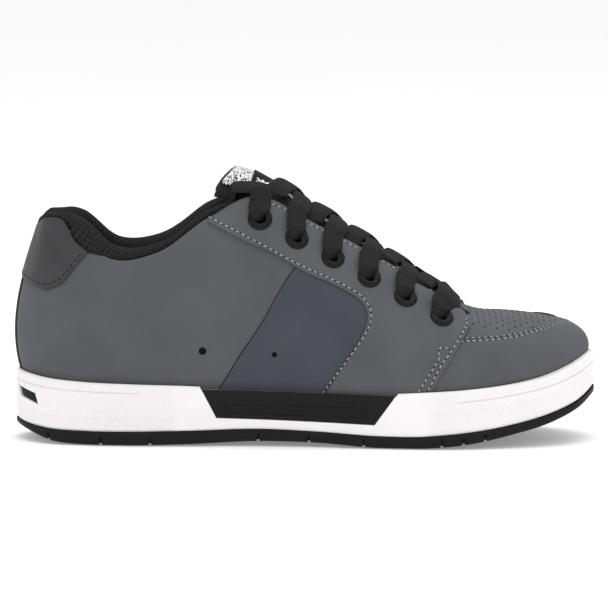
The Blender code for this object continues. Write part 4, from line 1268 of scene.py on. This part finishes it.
# Along half the collar: ring place, rise of its roll and of its sewn edge, in millimetres
COLLAR_RISE = np.array((
    (0.000, 2.2, -3.0), (0.035, 2.0, -3.0), (0.070, 1.6, -2.8), (0.093, 1.4, -2.4),
    (0.105, 1.8, -1.8), (0.117, 3.2, -0.6), (0.128, 5.4, 0.8), (0.137, 7.5, 1.4),
    (0.146, 9.2, 0.2), (0.154, 10.4, -2.0), (0.163, 11.4, -3.6), (0.175, 12.6, -4.4),
    (0.187, 13.0, -4.3), (0.198, 12.8, -3.3), (0.210, 11.8, -2.2), (0.222, 10.4, -1.2),
    (0.235, 9.1, -0.5), (0.257, 7.9, 0.0), (0.280, 6.9, 0.0), (0.303, 6.1, 0.0),
    (0.327, 5.6, 0.0), (0.350, 5.1, 0.0), (0.373, 4.8, 0.0), (0.397, 5.0, 0.0),
    (0.420, 5.2, 0.0), (0.455, 5.4, 0.0),
))
ROLL_TOP = 7.0
EDGE_FALL = 4.4


def collar_rises(w):
    """Rise of the roll and of the sewn edge at ring places, in metres."""
    return [smooth_values(abs(w), COLLAR_RISE[:, 0], COLLAR_RISE[:, index]) * MM
            for index in (1, 2)]


def rim_point(w, rise, out):
    """Points of one rib, measured up from the upper's edge and out of its face."""
    top, normal, up = form_frame(np.array([w]), np.ones(1))
    share = np.clip(1.0 + np.minimum(rise, 0.0) / RIB_LENGTH, 0.05, 1.0)
    above = top + normal * np.asarray(out)[..., None] + up * rise[:, None]
    return np.where((rise < 0)[:, None], skin(w, share, out), above)


def heel_edge():
    """Places of the heel patch's lower edge, from the outer side to the inner."""
    inner = side_places(HEEL_LOW)
    middle = np.array([[0.0, share_at_height(np.array(0.0), HEEL_LOW_BACK * MM)]])
    return smooth_line(np.concatenate((inner[::-1] * (-1, 1), middle, inner)), 180)


HEEL_LIFT = GAP + 0.0013
HEEL_OVERLAP = 0.0006
HEEL_ROWS = 40
BACK_STRIP_REACH = 0.0115
BACK_STRIP_LIFT = 0.0007
BACK_STRIP_THICK = 0.0010


def build_heel_patch():
    edge = heel_edge()
    _, head = collar_rises(edge[:, 0])
    patch = []
    for (w, v), top in zip(edge, head + HEEL_OVERLAP):
        rise = (v - 1.0) * RIB_LENGTH
        rise = rise + (max(top, rise) - rise) * np.linspace(0, 1, HEEL_ROWS)
        patch.append(rim_point(w, rise, HEEL_LIFT))
    patch = weld(add_sheet("heel_leather", np.array(patch).transpose(1, 0, 2)),
                 outward=False)
    thicken(patch, sizes().overlay, 0.0004)
    finish_piece(patch, [finish_of("dark_leather")], "black_leather", "heel_patch")


def build_heel_fold():
    """Turned edge under the heel patch."""
    fold = heel_edge()[3:-3]
    path, normals, _ = form_frame(fold[:, 0], fold[:, 1])
    lip = sweep("heel_fold", path + normals * 0.0004, normals, 0.0008, 0.0010, sides=12)
    finish_piece(lip, [finish_of("dark_leather")], "black_leather")


def build_back_strip():
    top = float(share_at_height(np.array(0.0), (HEEL_LOW_BACK - 1.5) * MM))
    w, v = np.meshgrid(np.linspace(-BACK_STRIP_REACH, BACK_STRIP_REACH, 12),
                       np.linspace(0, 1, 60))
    foot = rim_shares(w[0])[None, :]
    strip = leather("back_strip_leather", np.stack((w, foot + (top - foot) * v), axis=-1),
                    BACK_STRIP_LIFT)
    thicken(strip, BACK_STRIP_THICK, 0.0003)
    finish_piece(strip, [finish_of("dark_leather")], "black_leather", "back_strip")


def build_toe_patch():
    first, last = OLLIE_RUN
    high = smooth_line(OLLIE_TOP, 60)
    foot = on_rim(smooth_line(np.array([[first, 0.0], [last, 0.0]]), 60))
    left, right = (smooth_line([foot[end], high[end]], 34) for end in (0, -1))
    places = between_edges(foot, high, left, right)
    patch = leather("toe_patch_leather", places, sizes().overlay)
    thicken(patch, sizes().overlay, 0.0004)
    finish_piece(patch, [finish_of("dark_leather")], "black_leather", "ollie_patch")


def moc_line():
    """Places of the seam round the toe, from the inner side to the outer."""
    inner = side_places(MOC_SEAM)
    middle = np.array([[1.0, share_at_height(np.array(1.0), MOC_FRONT * MM)]])
    return smooth_line(np.concatenate((inner, middle, inner[::-1] * (-1, 1) + (2.0, 0))), 240)


TOE_GUARD = 0.0006


def build_toe_guard():
    edge = moc_line()
    foot = on_rim(edge)
    share = np.linspace(0, 1, 44)[:, None, None]
    places = foot[None] * (1 - share) + edge[None] * share
    guard = leather("toe_side_leather", places, TOE_GUARD, lift=0.0001)
    thicken(guard, TOE_GUARD, 0.00025, 2)
    finish_piece(guard, [finish_of("grey_nubuck")], "grey_nubuck")


# Padded pieces
def padded_roll(name, loops):
    """Closed solid through a row of loops, each end drawn into its middle."""
    loops = np.array(loops)
    ends = [np.repeat(loops[end].mean(axis=0)[None, None], loops.shape[1], axis=1)
            for end in (0, -1)]
    return weld(add_sheet(name, np.concatenate((ends[0], loops, ends[1]))))


# Inner face of the collar's wall, and how far its sewn edge stands out, in metres
COLLAR_INSIDE = -0.0028
COLLAR_FLAP = 0.0022
COLLAR_END_SIZE = 0.55


def build_collar():
    places = np.linspace(-COLLAR_END, COLLAR_END, 300)
    section = smooth_line(np.concatenate((COLLAR_SECTION, COLLAR_SECTION[:1])), 65)
    side, up = section.T
    fade = np.clip((COLLAR_END - abs(places)) / COLLAR_TAPER, 0.0, 1.0)
    scale = COLLAR_END_SIZE + (1 - COLLAR_END_SIZE) * np.sin(fade * math.pi / 2)
    outer = (side > -3.0) & (up > -2.0)
    flap = ease(up, -1.5, 0.8) * (1 - ease(up, 3.0, 7.0)) * outer
    foot = (1 - ease(up, 0.5, 6.0)) * outer
    loops = []
    for w, size in zip(places, scale):
        roll, edge = collar_rises(np.array(w))
        rise = up * MM * size
        rise[up > 0] *= roll / (ROLL_TOP * MM)
        rise = rise + min(edge, 0.0) * foot
        out = side * MM
        out = np.where(out < COLLAR_INSIDE, COLLAR_INSIDE + (out - COLLAR_INSIDE) * size, out)
        out = out + COLLAR_FLAP * flap * max(-edge, 0.0) / (EDGE_FALL * MM)
        loops.append(rim_point(w, rise, out))
    collar = padded_roll("collar_padding", loops)
    finish_piece(collar, [finish_of("collar_mesh")], "black_mesh", "collar_lining", angle=70)


# Tongue above the throat: x, crest height, half width, drop of its edge and how far
# its corners reach back, in millimetres
TONGUE_TOP = ((-37.0, 140.4, 18.5, 10.8, 11.4), (-33.0, 139.8, 19.5, 10.2, 9.1),
              (-28.0, 138.0, 21.0, 10.0, 4.5))
TONGUE_FRONT = ((88.5, 57.6, 14.7, 6.4, 0.0), (97.5, 55.0, 11.5, 5.1, 0.0))
# Rise of the tongue's crest over the throat's edge: x and rise, in millimetres
TONGUE_RISE = np.array(((-24.0, 5.2), (-10.0, 6.0), (0.0, 6.0), (10.0, 4.4), (25.0, 3.0),
                        (45.0, 1.9), (80.0, 1.6)))
TONGUE_THICK = 0.0062
TONGUE_WING = 0.92
TONGUE_BOW = 2.2
SOFT_GAP = 0.0008
# Along the tongue, in metres: its top edge and the length that rounds it, its end below
# the toe, the start of the throat, and the runs of the woven panel and of the badge
TONGUE_START = -0.037
TONGUE_EDGE_ROUND = 0.0028
TONGUE_END = 0.0975
THROAT_START = -0.024
PANEL_RUN = (-0.0352, 0.088)
BADGE_RUN = (-0.0258, -0.0142)
# Rise of the woven panel's face and of the badge's off the tongue
PANEL_RISE = 0.0007
BADGE_RISE = 0.0018


def tongue_row(x, crest, half, drop, back):
    return x * MM, crest * MM, half * MM, drop * MM, TONGUE_BOW, back * MM


def tongue_rows():
    """x, crest height, half width, edge drop, bow and backward reach along the tongue."""
    rows = [tongue_row(*row) for row in TONGUE_TOP]
    ring = np.linspace(0.50, 0.76, 8)
    under = -(WALL + SOFT_GAP + 2 * GAP)
    edge, wing = skin(ring, 1.0, under), skin(ring, TONGUE_WING, under)
    top = rib_point(ring, 1.0)
    crest = top[:, 2] + np.interp(top[:, 0], *(TONGUE_RISE * MM).T)
    drop = crest - wing[:, 2]
    bow = np.log((crest - edge[:, 2]) / drop) / np.log(edge[:, 1] / wing[:, 1])
    middle = np.stack((top[:, 0], crest, abs(wing[:, 1]), drop, bow, np.zeros(len(ring))), 1)
    rows += list(middle[top[:, 0] > THROAT_START])
    rows += [tongue_row(*row) for row in TONGUE_FRONT]
    return np.array(rows)


TONGUE_ROWS = tongue_rows()


def tongue_at(x):
    """The tongue's measures at distances along the shoe."""
    return [smooth_values(x, TONGUE_ROWS[:, 0], TONGUE_ROWS[:, index])
            for index in range(1, 6)]


def tongue_point(x, across, depth=0.0):
    crest, half, drop, bow, back = tongue_at(x)
    bend = abs(across) ** bow
    reach = abs(across) ** 1.6 * (1 - 0.14 * abs(across) ** 8)
    return np.stack(np.broadcast_arrays(x - back * reach, across * half,
                                        crest - drop * bend - depth), axis=-1)


def tongue_height(x, y):
    crest, half, drop, bow, _ = tongue_at(x)
    return crest - drop * np.minimum(abs(y) / half, 1.0) ** bow


def build_tongue():
    x = np.concatenate((np.linspace(TONGUE_START, -0.034, 8),
                        np.linspace(-0.0335, TONGUE_END, 130)))
    rounding = np.clip((x - TONGUE_START) / TONGUE_EDGE_ROUND, 0.0, 1.0)
    swell = np.sqrt(1 - (1 - rounding) ** 2)
    swell[0] = 0.12
    angle = np.linspace(0, 2 * math.pi, 57)
    c, s = np.cos(angle), np.sin(angle)
    across = np.sign(c) * abs(c) ** 0.62
    lift = np.sign(s) * abs(s) ** 0.75
    depth = TONGUE_THICK / 2 * (1 - lift[None, :] * swell[:, None])
    loops = tongue_point(x[:, None], across[None, :], depth)
    tongue = padded_roll("tongue_padding", loops)
    finish_piece(tongue, [finish_of("collar_mesh")], "tongue_fabric", "tongue", angle=70)


def build_tongue_panel():
    x, across = np.meshgrid(np.linspace(*PANEL_RUN, 200), np.linspace(-1.0, 1.0, 50))
    across = across * (0.88 - 0.38 * ease(x, -0.026, -0.016))
    panel = add_sheet("tongue_panel", tongue_point(x, across, -PANEL_RISE))
    thicken(panel, 0.0006, 0.0002, 1)
    finish_piece(panel, [finish_of("tongue_weave")], "tongue_fabric")


def build_badge():
    x, across = np.meshgrid(np.linspace(*BADGE_RUN, 30), np.linspace(-0.80, 0.80, 60))
    badge = add_sheet("tongue_badge", tongue_point(x, across, -BADGE_RISE))
    thicken(badge, 0.0009, 0.0003)
    finish_piece(badge, [finish_of("badge_cloth")], "tongue_fabric", "tongue_label")


# Lift over the cup's floor and further inset, up the insole's edge
INSOLE_SECTION = ((0.0, 0.0), (0.0015, 0.0), (0.0030, 0.0), (0.0038, 0.0006))


def insole_half(ring):
    floor = sole_heights(ring)[1]
    inset = -(WALL + 2 * GAP)
    rows = []
    for lift, rounding in INSOLE_SECTION:
        share = share_at_height(ring, floor + lift, inset)
        point = skin(ring, share, inset - rounding)
        point[..., 2] = floor + lift
        rows.append(point)
    return np.stack(rows, axis=1)


def build_insole():
    insole = loft_across("insole_pad", insole_half, 6, 24)
    finish_piece(insole, [finish_of("insole_cover")], "insole_foam", "insole")


# Eyelets and laces
EYELET_SEAT = 0.0008
EYELET_HEIGHT = 0.0019


def build_eyelets():
    major = (sizes().eyelet + sizes().bore) / 4
    minor = (sizes().eyelet - sizes().bore) / 4
    for name, point, normal, _ in eyelet_frames():
        bpy.ops.object.select_all(action="DESELECT")
        bpy.ops.mesh.primitive_torus_add(major_segments=40, minor_segments=16,
                                         major_radius=major, minor_radius=minor)
        ring = bpy.context.object
        ring.name = ring.data.name = f"grommet_{name}"
        flatten = EYELET_HEIGHT / (2 * minor)
        for vert in ring.data.vertices:
            radius = math.hypot(vert.co.x, vert.co.y)
            lean = 0.25 * (radius - major)
            vert.co.z = vert.co.z * flatten - lean + EYELET_SEAT + EYELET_HEIGHT / 2
        ring.matrix_world = Matrix.Translation(Vector(point)) @ Vector(
            normal).to_track_quat("Z", "Y").to_matrix().to_4x4()
        select_only(ring)
        bpy.ops.object.transform_apply(location=True, rotation=True, scale=True)
        finish_piece(ring, [finish_of("eyelet_rubber")], "eyelet_rubber", f"eyelet_{name}")


def stay_height(x, y):
    """Height of the eyestay's face above places seen from above."""
    sign = y > 0
    heights = np.zeros(len(x))
    for outer in (False, True):
        chosen = sign == outer
        if chosen.any():
            places = places_of(np.stack((x[chosen], y[chosen]), axis=1), (0, 1), outer)
            point, normal, _ = form_frame(places[:, 0], places[:, 1])
            heights[chosen] = point[:, 2] + (sizes().overlay + GAP) / np.maximum(
                normal[:, 2], 0.45)
    return heights


def throat_reach(x):
    places = throat_places(x)
    return abs(rib_point(places[:, 0], 1.0)[:, 1])


def cover_height(x, y):
    """Height of what lies under a lace: the tongue, or the eyestay beyond its edge."""
    edge = throat_reach(x)
    on_tongue = abs(y) < edge - 0.0005
    heights = tongue_height(x, y) + PANEL_RISE
    if (~on_tongue).any():
        heights[~on_tongue] = stay_height(x[~on_tongue], y[~on_tongue])
    return heights


def taut(walked, heights):
    """Least line that bulges upwards over all heights, as a pulled lace lies."""
    hull = []
    for place in zip(walked, heights):
        while len(hull) > 1:
            (x1, y1), (x2, y2) = hull[-2], hull[-1]
            if (y2 - y1) * (place[0] - x1) <= (place[1] - y1) * (x2 - x1):
                hull.pop()
            else:
                break
        hull.append(place)
    hull = np.array(hull)
    return np.interp(walked, hull[:, 0], hull[:, 1])


def eased(values, rounds):
    """Values softened along their run, with the ends held."""
    values = values.copy()
    for _ in range(rounds):
        values[1:-1] = (values[:-2] + 2 * values[1:-1] + values[2:]) / 4
    return values


def up_at(x, y):
    """Upward directions of the shoe's front at places seen from above."""
    step = 0.0015
    dx = (smooth_cover(x + step, y) - smooth_cover(x - step, y)) / (2 * step)
    dy = (smooth_cover(x, y + step) - smooth_cover(x, y - step)) / (2 * step)
    return unit(np.stack((-dx, -dy, np.ones(len(x))), axis=1))


def smooth_cover(x, y):
    """Height of an arch over the shoe's front, for the tilt of the laces."""
    places = throat_places(x)
    top = rib_point(places[:, 0], 1.0)
    reach = abs(top[:, 1])
    return top[:, 2] + 0.004 - 0.0075 * (y / reach) ** 2


def eyelet_at(index, sign):
    """Centre, outward normal and way up the rib of one eyelet."""
    w, v = EYELET_PLACES[index]
    return form_frame(w if sign < 0 else 2.0 - w, v)


# Out of an eyelet: distances along its normal and up the rib
LACE_START = ((-0.0045, 0.0006), (-0.0005, 0.0010), (0.0034, 0.0032))
LACE_STEPS = 110
LACE_CLEARANCE = 0.0002


def lace_path(index, sign, plan, lift=None, dive=None):
    """Centre line, section ups and half widths of a lace out of one eyelet."""
    centre, normal, up = eyelet_at(index, sign)
    plan = smooth_line(plan, 60)
    x, y = plan[:, 0], plan[:, 1]
    heights = cover_height(x, y) + sizes().lace_thickness / 2 + LACE_CLEARANCE
    walked = walk(np.hypot(np.diff(x), np.diff(y)))
    heights = taut(walked, heights)
    if lift is not None:
        heights = heights + lift(walked / walked[-1])
    over = np.stack((x, y, eased(heights, 6)), axis=1)
    path = [np.array([centre + normal * out + up * rise for out, rise in LACE_START]), over]
    if dive is not None:
        path.append(dive)
    total = smooth_line(np.concatenate(path), LACE_STEPS)
    length = np.linalg.norm(np.diff(total, axis=0), axis=1).sum()
    run = np.linspace(0, 1, LACE_STEPS) * length
    widths = sizes().lace_width / 2 * (0.55 + 0.45 * ease(run, 0.003, 0.011))
    thick = sizes().lace_thickness / 2 * (1.7 - 0.7 * ease(run, 0.004, 0.014))
    nearest = ((total[:, None, :2] - over[None, :, :2]) ** 2).sum(axis=2).argmin(axis=1)
    blend = ease(run, 0.003, 0.012)[:, None]
    lead = unit(normal * (1 - blend) + up_at(x, y)[nearest] * blend)
    for axis in range(3):
        lead[:, axis] = eased(lead[:, axis], 10)
    return total, unit(lead), widths, thick


# Seen from above: steps ahead of its eyelet and shares of the eyelet's distance, which
# change side past the crest
NEAR_ROUTE = ((0.6, 0.80), (2.6, 0.62), (3.4, 0.40), (2.6, 0.14), (-0.8, -0.12),
              (-5.0, -0.34), (-9.0, -0.56))
FAR_ROUTE = ((0.4, 0.80), (0.6, 0.60), (-1.0, 0.36), (-4.6, 0.02), (-6.8, -0.22),
             (-9.0, -0.44), (-10.6, -0.60))


BAR_ROUTE = ((2.4, 0.85), (5.4, 0.70), (6.4, 0.50), (5.8, 0.25), (4.8, 0.0))
TAIL_ROUTE = ((0.4, 0.94), (0.2, 0.86), (-1.6, 0.77), (-5.4, 0.71), (-10.0, 0.67),
              (-14.0, 0.64))
# Where a crossing goes under the far edge: inward, ahead and up from the far eyelet
CROSSING_DIVE = ((0.0110, 0.0040, -0.0050), (0.0050, 0.0010, -0.0075))
# Where an end goes down between tongue and collar: ahead, inward and up
TAIL_TURN = (-0.0160, 0.0130, 0.0035)
TAIL_DIVE = (-0.0020, 0.0010, -0.0100)
CROSSING_PLAY = 0.0004
BAR_RISE = 0.0026


def route_plan(index, sign, route):
    """Route of a lace seen from above, out of an eyelet."""
    start, _, _ = eyelet_at(index, sign)
    route = np.array(route)
    return np.stack((start[0] + route[:, 0] * MM, start[1] * route[:, 1]), axis=1)


def crest_lift(share):
    """Rise of the strand that lies on top where two cross."""
    bump = sizes().lace_thickness + CROSSING_PLAY
    return bump * np.exp(-((share - 0.52) / 0.26) ** 2)


def bar_lift(share):
    return BAR_RISE * share


def finish_lace(lace, node):
    finish_piece(lace, [finish_of("lace_braid")], "black_lace", node, angle=60)


def build_crossings():
    for index in range(1, EYELET_COUNT):
        strands = []
        for sign, route, lift in ((-1, NEAR_ROUTE, None), (1, FAR_ROUTE, crest_lift)):
            end, _, _ = eyelet_at(index - 1, -sign)
            inward = np.array((0.0, np.sign(-end[1]), 0.0))
            dive = np.array([end + inward * across + (ahead, 0, rise)
                             for across, ahead, rise in CROSSING_DIVE])
            path = lace_path(index, sign, route_plan(index, sign, route), lift, dive)
            strands.append(sweep(f"strand_{sign}", *path))
        finish_lace(joined(f"lace_pair_{index}", strands), f"lace_crossing_{index}")


def build_lace_bar():
    last = EYELET_COUNT - 1
    halves = [sweep("half", *lace_path(last, sign, route_plan(last, sign, BAR_ROUTE),
                                       bar_lift)) for sign in (-1, 1)]
    finish_lace(joined("lace_bar_braid", halves), "lace_bar")


def build_lace_ends():
    for side, sign in (("inner", -1), ("outer", 1)):
        inwards = (1, -sign, 1)
        start, _, _ = eyelet_at(0, sign)
        end = start + np.array(TAIL_TURN) * inwards
        dive = np.array([end, end + np.array(TAIL_DIVE) * inwards])
        path = lace_path(0, sign, route_plan(0, sign, TAIL_ROUTE), dive=dive)
        finish_lace(sweep(f"lace_tail_{side}", *path), f"lace_end_{side}")


# Stitches, and near-black discs of painted shade at the holes
def inset_line(points, distance):
    """Side-view line moved to its left, in millimetres."""
    points = smooth_line(points, 120)
    way = unit(np.gradient(points, axis=0))
    return points + np.stack((-way[:, 1], way[:, 0]), axis=1) * distance


# Half sizes of a near-black disc of painted shade that stands for a needle hole
NEEDLE_HOLE_SHADE = (0.00046, 0.00042, 0.0001)


def stitch_frames(places, lift):
    """Frames of the stitches and of the needle holes along a row of places."""
    pitch, length, thread = sizes().stitch_pitch, sizes().stitch_length, sizes().thread
    points = skin(places[:, 0], places[:, 1], lift)
    _, normals, _ = form_frame(places[:, 0], places[:, 1])
    walked = line_walk(points)
    ways = np.gradient(points, walked, axis=0)
    at = np.arange(pitch / 2, walked[-1], pitch)
    return [frames_on(picked(points, walked, where), picked(ways, walked, where),
                      unit(picked(normals, walked, where)), size)
            for where, size in ((at, (length / 2, thread / 2, thread / 2)),
                                (at + pitch / 2, NEEDLE_HOLE_SHADE))]


STITCH_LIFT = 0.00005
# Rows of stitching seen from the side, in millimetres
FRONT_SEAM = ((81.9, 64.6), (82.5, 62.8), (82.1, 60.9), (80.0, 57.6), (73.9, 48.6),
              (70.0, 43.6), (62.4, 29.4))
SECOND_SEAM = ((68.9, 47.1), (64.9, 40.5), (57.9, 29.4))
BAR_SEAM = ((68.9, 47.1), (68.0, 49.3), (69.2, 51.3), (71.6, 51.2), (74.4, 50.0))
STAY_SEAM_INSET = 1.7


def seam_rows():
    """Rows of light stitching on the inner side."""
    high = throat_places(np.linspace(-0.022, FRONT_TOP_X - 0.004, 120))
    high[:, 1] = 1.0 - 0.0030 / RIB_LENGTH
    low = inset_line((*EYESTAY_LOW, *QUARTER_BACK[-2::-1]), STAY_SEAM_INSET)
    rows = [high, side_places(even_steps(low, 260))]
    return rows + [side_places(smooth_line(line, 120))
                   for line in (FRONT_SEAM, SECOND_SEAM, BAR_SEAM)]


def moved_up(places, distance):
    """Places moved up their ribs by a distance."""
    ahead, behind = (rib_point(places[:, 0], places[:, 1] + step) for step in (0.005, -0.005))
    share = distance * 0.01 / np.linalg.norm(ahead - behind, axis=1)
    return places + np.stack((np.zeros(len(places)), share), axis=1)


def bead(rings):
    """Small ball, to be drawn out into a stitch or pressed flat into a hole."""
    bpy.ops.object.select_all(action="DESELECT")
    bpy.ops.mesh.primitive_uv_sphere_add(segments=8, ring_count=rings, radius=1)
    return bpy.context.object


def stitch_bead():
    """Ball whose poles lie along its thread."""
    ball = bead(5)
    ball.rotation_euler = (0, math.pi / 2, 0)
    bpy.ops.object.transform_apply(location=True, rotation=True, scale=True)
    return ball


def build_stitches():
    lift = GAP + sizes().overlay + STITCH_LIFT
    rows = [(turned(row[None], side)[0], lift)
            for row in seam_rows() for side in ("inner", "outer")]
    moc = moc_line()
    rows += [(moved_up(moc, 0.0010), 0.00015), (moved_up(moc, -0.0011), TOE_GUARD + 0.00015)]
    threads, hole_shade_frames = zip(*(stitch_frames(*row) for row in rows))
    stitches = scatter("light_stitches", stitch_bead(), np.concatenate(threads))
    finish_piece(stitches, [finish_of("light_thread")], "grey_nubuck", angle=80)
    # Needle and air holes are flat near-black discs: painted shade of the holes
    holes = scatter("needle_and_air_holes", bead(4), np.concatenate((*hole_shade_frames, perforation_shade_frames())))
    finish_piece(holes, [finish_of("hole_dark")], "grey_nubuck", angle=80)


def build_heel_stitches():
    dark, _ = stitch_frames(moved_up(heel_edge()[8:-8], 0.0019), GAP + sizes().overlay)
    stitches = scatter("heel_stitches", stitch_bead(), dark)
    finish_piece(stitches, [finish_of("dark_thread")], "black_leather", angle=80)


AIR_PITCH = (0.0062, 0.0031)
AIR_FRONT = 0.0835
AIR_HEAD = 0.985
AIR_OVER_SEAM = 0.042


def perforation_shade_frames():
    """Frames of the punched air holes between the toe seam and the laces."""
    x, y = np.meshgrid(np.arange(0.086, 0.137, AIR_PITCH[0] / 2),
                       np.arange(-0.034, 0.0345, AIR_PITCH[1]))
    keep = (np.add.outer(np.arange(y.shape[0]), np.arange(y.shape[1])) % 2) == 0
    x, y = x[keep], y[keep]
    places = []
    for outer in (False, True):
        chosen = (y > 0) == outer
        places.append(places_of(np.stack((x[chosen], y[chosen]), axis=1), (0, 1), outer))
    places = np.concatenate(places)
    seam = moc_line()
    order = np.argsort(seam[:, 0])
    limit = np.interp(places[:, 0], seam[order, 0], seam[order, 1])
    point, normal, up = form_frame(places[:, 0], places[:, 1])
    ok = ((places[:, 1] > limit + AIR_OVER_SEAM) & (places[:, 1] < AIR_HEAD)
          & (point[:, 0] > AIR_FRONT))
    radius = sizes().hole / 2
    point = point[ok] + normal[ok] * 0.00002
    return frames_on(point, up[ok], normal[ok], (radius, radius, 0.0001))


def build_vents():
    pieces = []
    for x, z, width, lift in VENTS:
        w, v = side_places([(x, z)])[0]
        point, normal, _ = form_frame(w, v)
        bpy.ops.object.select_all(action="DESELECT")
        bpy.ops.mesh.primitive_uv_sphere_add(segments=24, ring_count=12,
                                             radius=width * MM / 2)
        vent = bpy.context.object
        vent.scale = (1, 1, 0.16)
        vent.rotation_euler = Vector(normal).to_track_quat("Z", "Y").to_euler()
        vent.location = Vector(point + normal * lift)
        bpy.ops.object.transform_apply(location=True, rotation=True, scale=True)
        pieces.append(vent)
    # Flattened near-black balls at the vents: painted shade of the holes
    vents = joined("side_vents", pieces)
    finish_piece(vents, [finish_of("hole_dark")], "black_rubber")


# Stage
# Place, size and power of each light
LIGHTS = {"top_light": ((0.1, 0.1, 1.6), 1.6, 16.0),
          "front_light": ((-0.6, -1.5, 1.0), 1.2, 1.6),
          "side_light": ((1.4, -0.6, 0.9), 1.0, 1.0)}
LIGHT_AIM = (0, 0, 0.06)
WORLD_STRENGTH = 0.78
# The photograph's view: square on the inner side, from a little above
CAMERA_ELEVATION = math.radians(6.5)
CAMERA_DISTANCE = 2.5
CAMERA_AIM = (-0.0005, 0.0, 0.0688)
FRAME_WIDTH = 0.3156


def build_floor():
    bpy.ops.object.select_all(action="DESELECT")
    bpy.ops.mesh.primitive_plane_add(size=30, location=(0, 0, -0.0002))
    floor = bpy.context.object
    floor.name = "studio_floor"
    floor.data.materials.append(pale_floor("studio_floor"))


def build_light():
    world = bpy.data.worlds.new("studio")
    world.use_nodes = True
    background = world.node_tree.nodes["Background"].inputs
    background["Color"].default_value = (1, 1, 1, 1)
    background["Strength"].default_value = WORLD_STRENGTH
    bpy.context.scene.world = world
    bpy.context.scene.view_settings.view_transform = "Standard"
    for name, (place, size, power) in LIGHTS.items():
        bpy.ops.object.light_add(type="AREA", location=place)
        light = bpy.context.object
        light.name = name
        light.data.size = size
        light.data.energy = power
        way = Vector(LIGHT_AIM) - Vector(place)
        light.rotation_euler = way.to_track_quat("-Z", "Y").to_euler()


def build_camera():
    back = Vector((0, -math.cos(CAMERA_ELEVATION), math.sin(CAMERA_ELEVATION)))
    bpy.ops.object.camera_add(location=Vector(CAMERA_AIM) + back * CAMERA_DISTANCE,
                              rotation=(math.pi / 2 - CAMERA_ELEVATION, 0, 0))
    camera = bpy.context.object
    camera.data.angle = 2 * math.atan(FRAME_WIDTH / 2 / CAMERA_DISTANCE)
    bpy.context.scene.camera = camera


def operator(name, label, text, *steps):
    """Operator class that runs its building steps."""
    def execute(self, context):
        for step in steps:
            step()
        return {"FINISHED"}
    return type("SHOE_OT_" + name, (bpy.types.Operator,), {
        "bl_idname": "shoe." + name, "bl_label": label, "__doc__": text,
        "execute": execute})


OPERATORS = [
    operator("sole", "Sole", "Outsole and cupsole", build_outsole, build_midsole),
    operator("inserts", "Inserts", "Arch and heel inserts of the cup", build_inserts),
    operator("upper", "Upper", "Nubuck shell of the upper", build_upper),
    operator("overlays", "Overlays", "Leather laid on the upper", build_eyestays,
             build_panels, build_heel_patch, build_heel_fold, build_back_strip,
             build_toe_patch, build_toe_guard),
    operator("padding", "Padding", "Collar, tongue, badge and insole", build_collar,
             build_tongue, build_tongue_panel, build_badge, build_insole),
    operator("laces", "Laces", "Eyelets and laces", build_eyelets, build_crossings,
             build_lace_bar, build_lace_ends),
    operator("stitches", "Stitches", "Stitching, air holes and vents", build_stitches,
             build_heel_stitches, build_vents),
    operator("stage", "Stage", "Floor, lights and camera", build_floor, build_light,
             build_camera),
]


class SHOE_PT_panel(bpy.types.Panel):
    """Sizes, colours and pieces of the shoe"""
    bl_label = "Skateboarding shoe"
    bl_idname = "SHOE_PT_panel"
    bl_space_type = "VIEW_3D"
    bl_region_type = "UI"
    bl_category = "Shoe"

    def draw(self, context):
        layout = self.layout
        for group in (context.scene.shoe_sizes, context.scene.shoe_colours):
            for name in group.__annotations__:
                layout.prop(group, name)
        for kind in OPERATORS:
            layout.operator(kind.bl_idname)


CLASSES = [ShoeSizes, ShoeColours, *OPERATORS, SHOE_PT_panel]


def register():
    for kind in CLASSES:
        bpy.utils.register_class(kind)
    bpy.types.Scene.shoe_sizes = PointerProperty(type=ShoeSizes)
    bpy.types.Scene.shoe_colours = PointerProperty(type=ShoeColours)


def unregister():
    del bpy.types.Scene.shoe_colours
    del bpy.types.Scene.shoe_sizes
    for kind in reversed(CLASSES):
        bpy.utils.unregister_class(kind)


def main():
    register()
    for kind in OPERATORS:
        group, name = kind.bl_idname.split(".")
        getattr(getattr(bpy.ops, group), name)()
    bpy.context.view_layer.update()


if __name__ == "__main__":
    main()
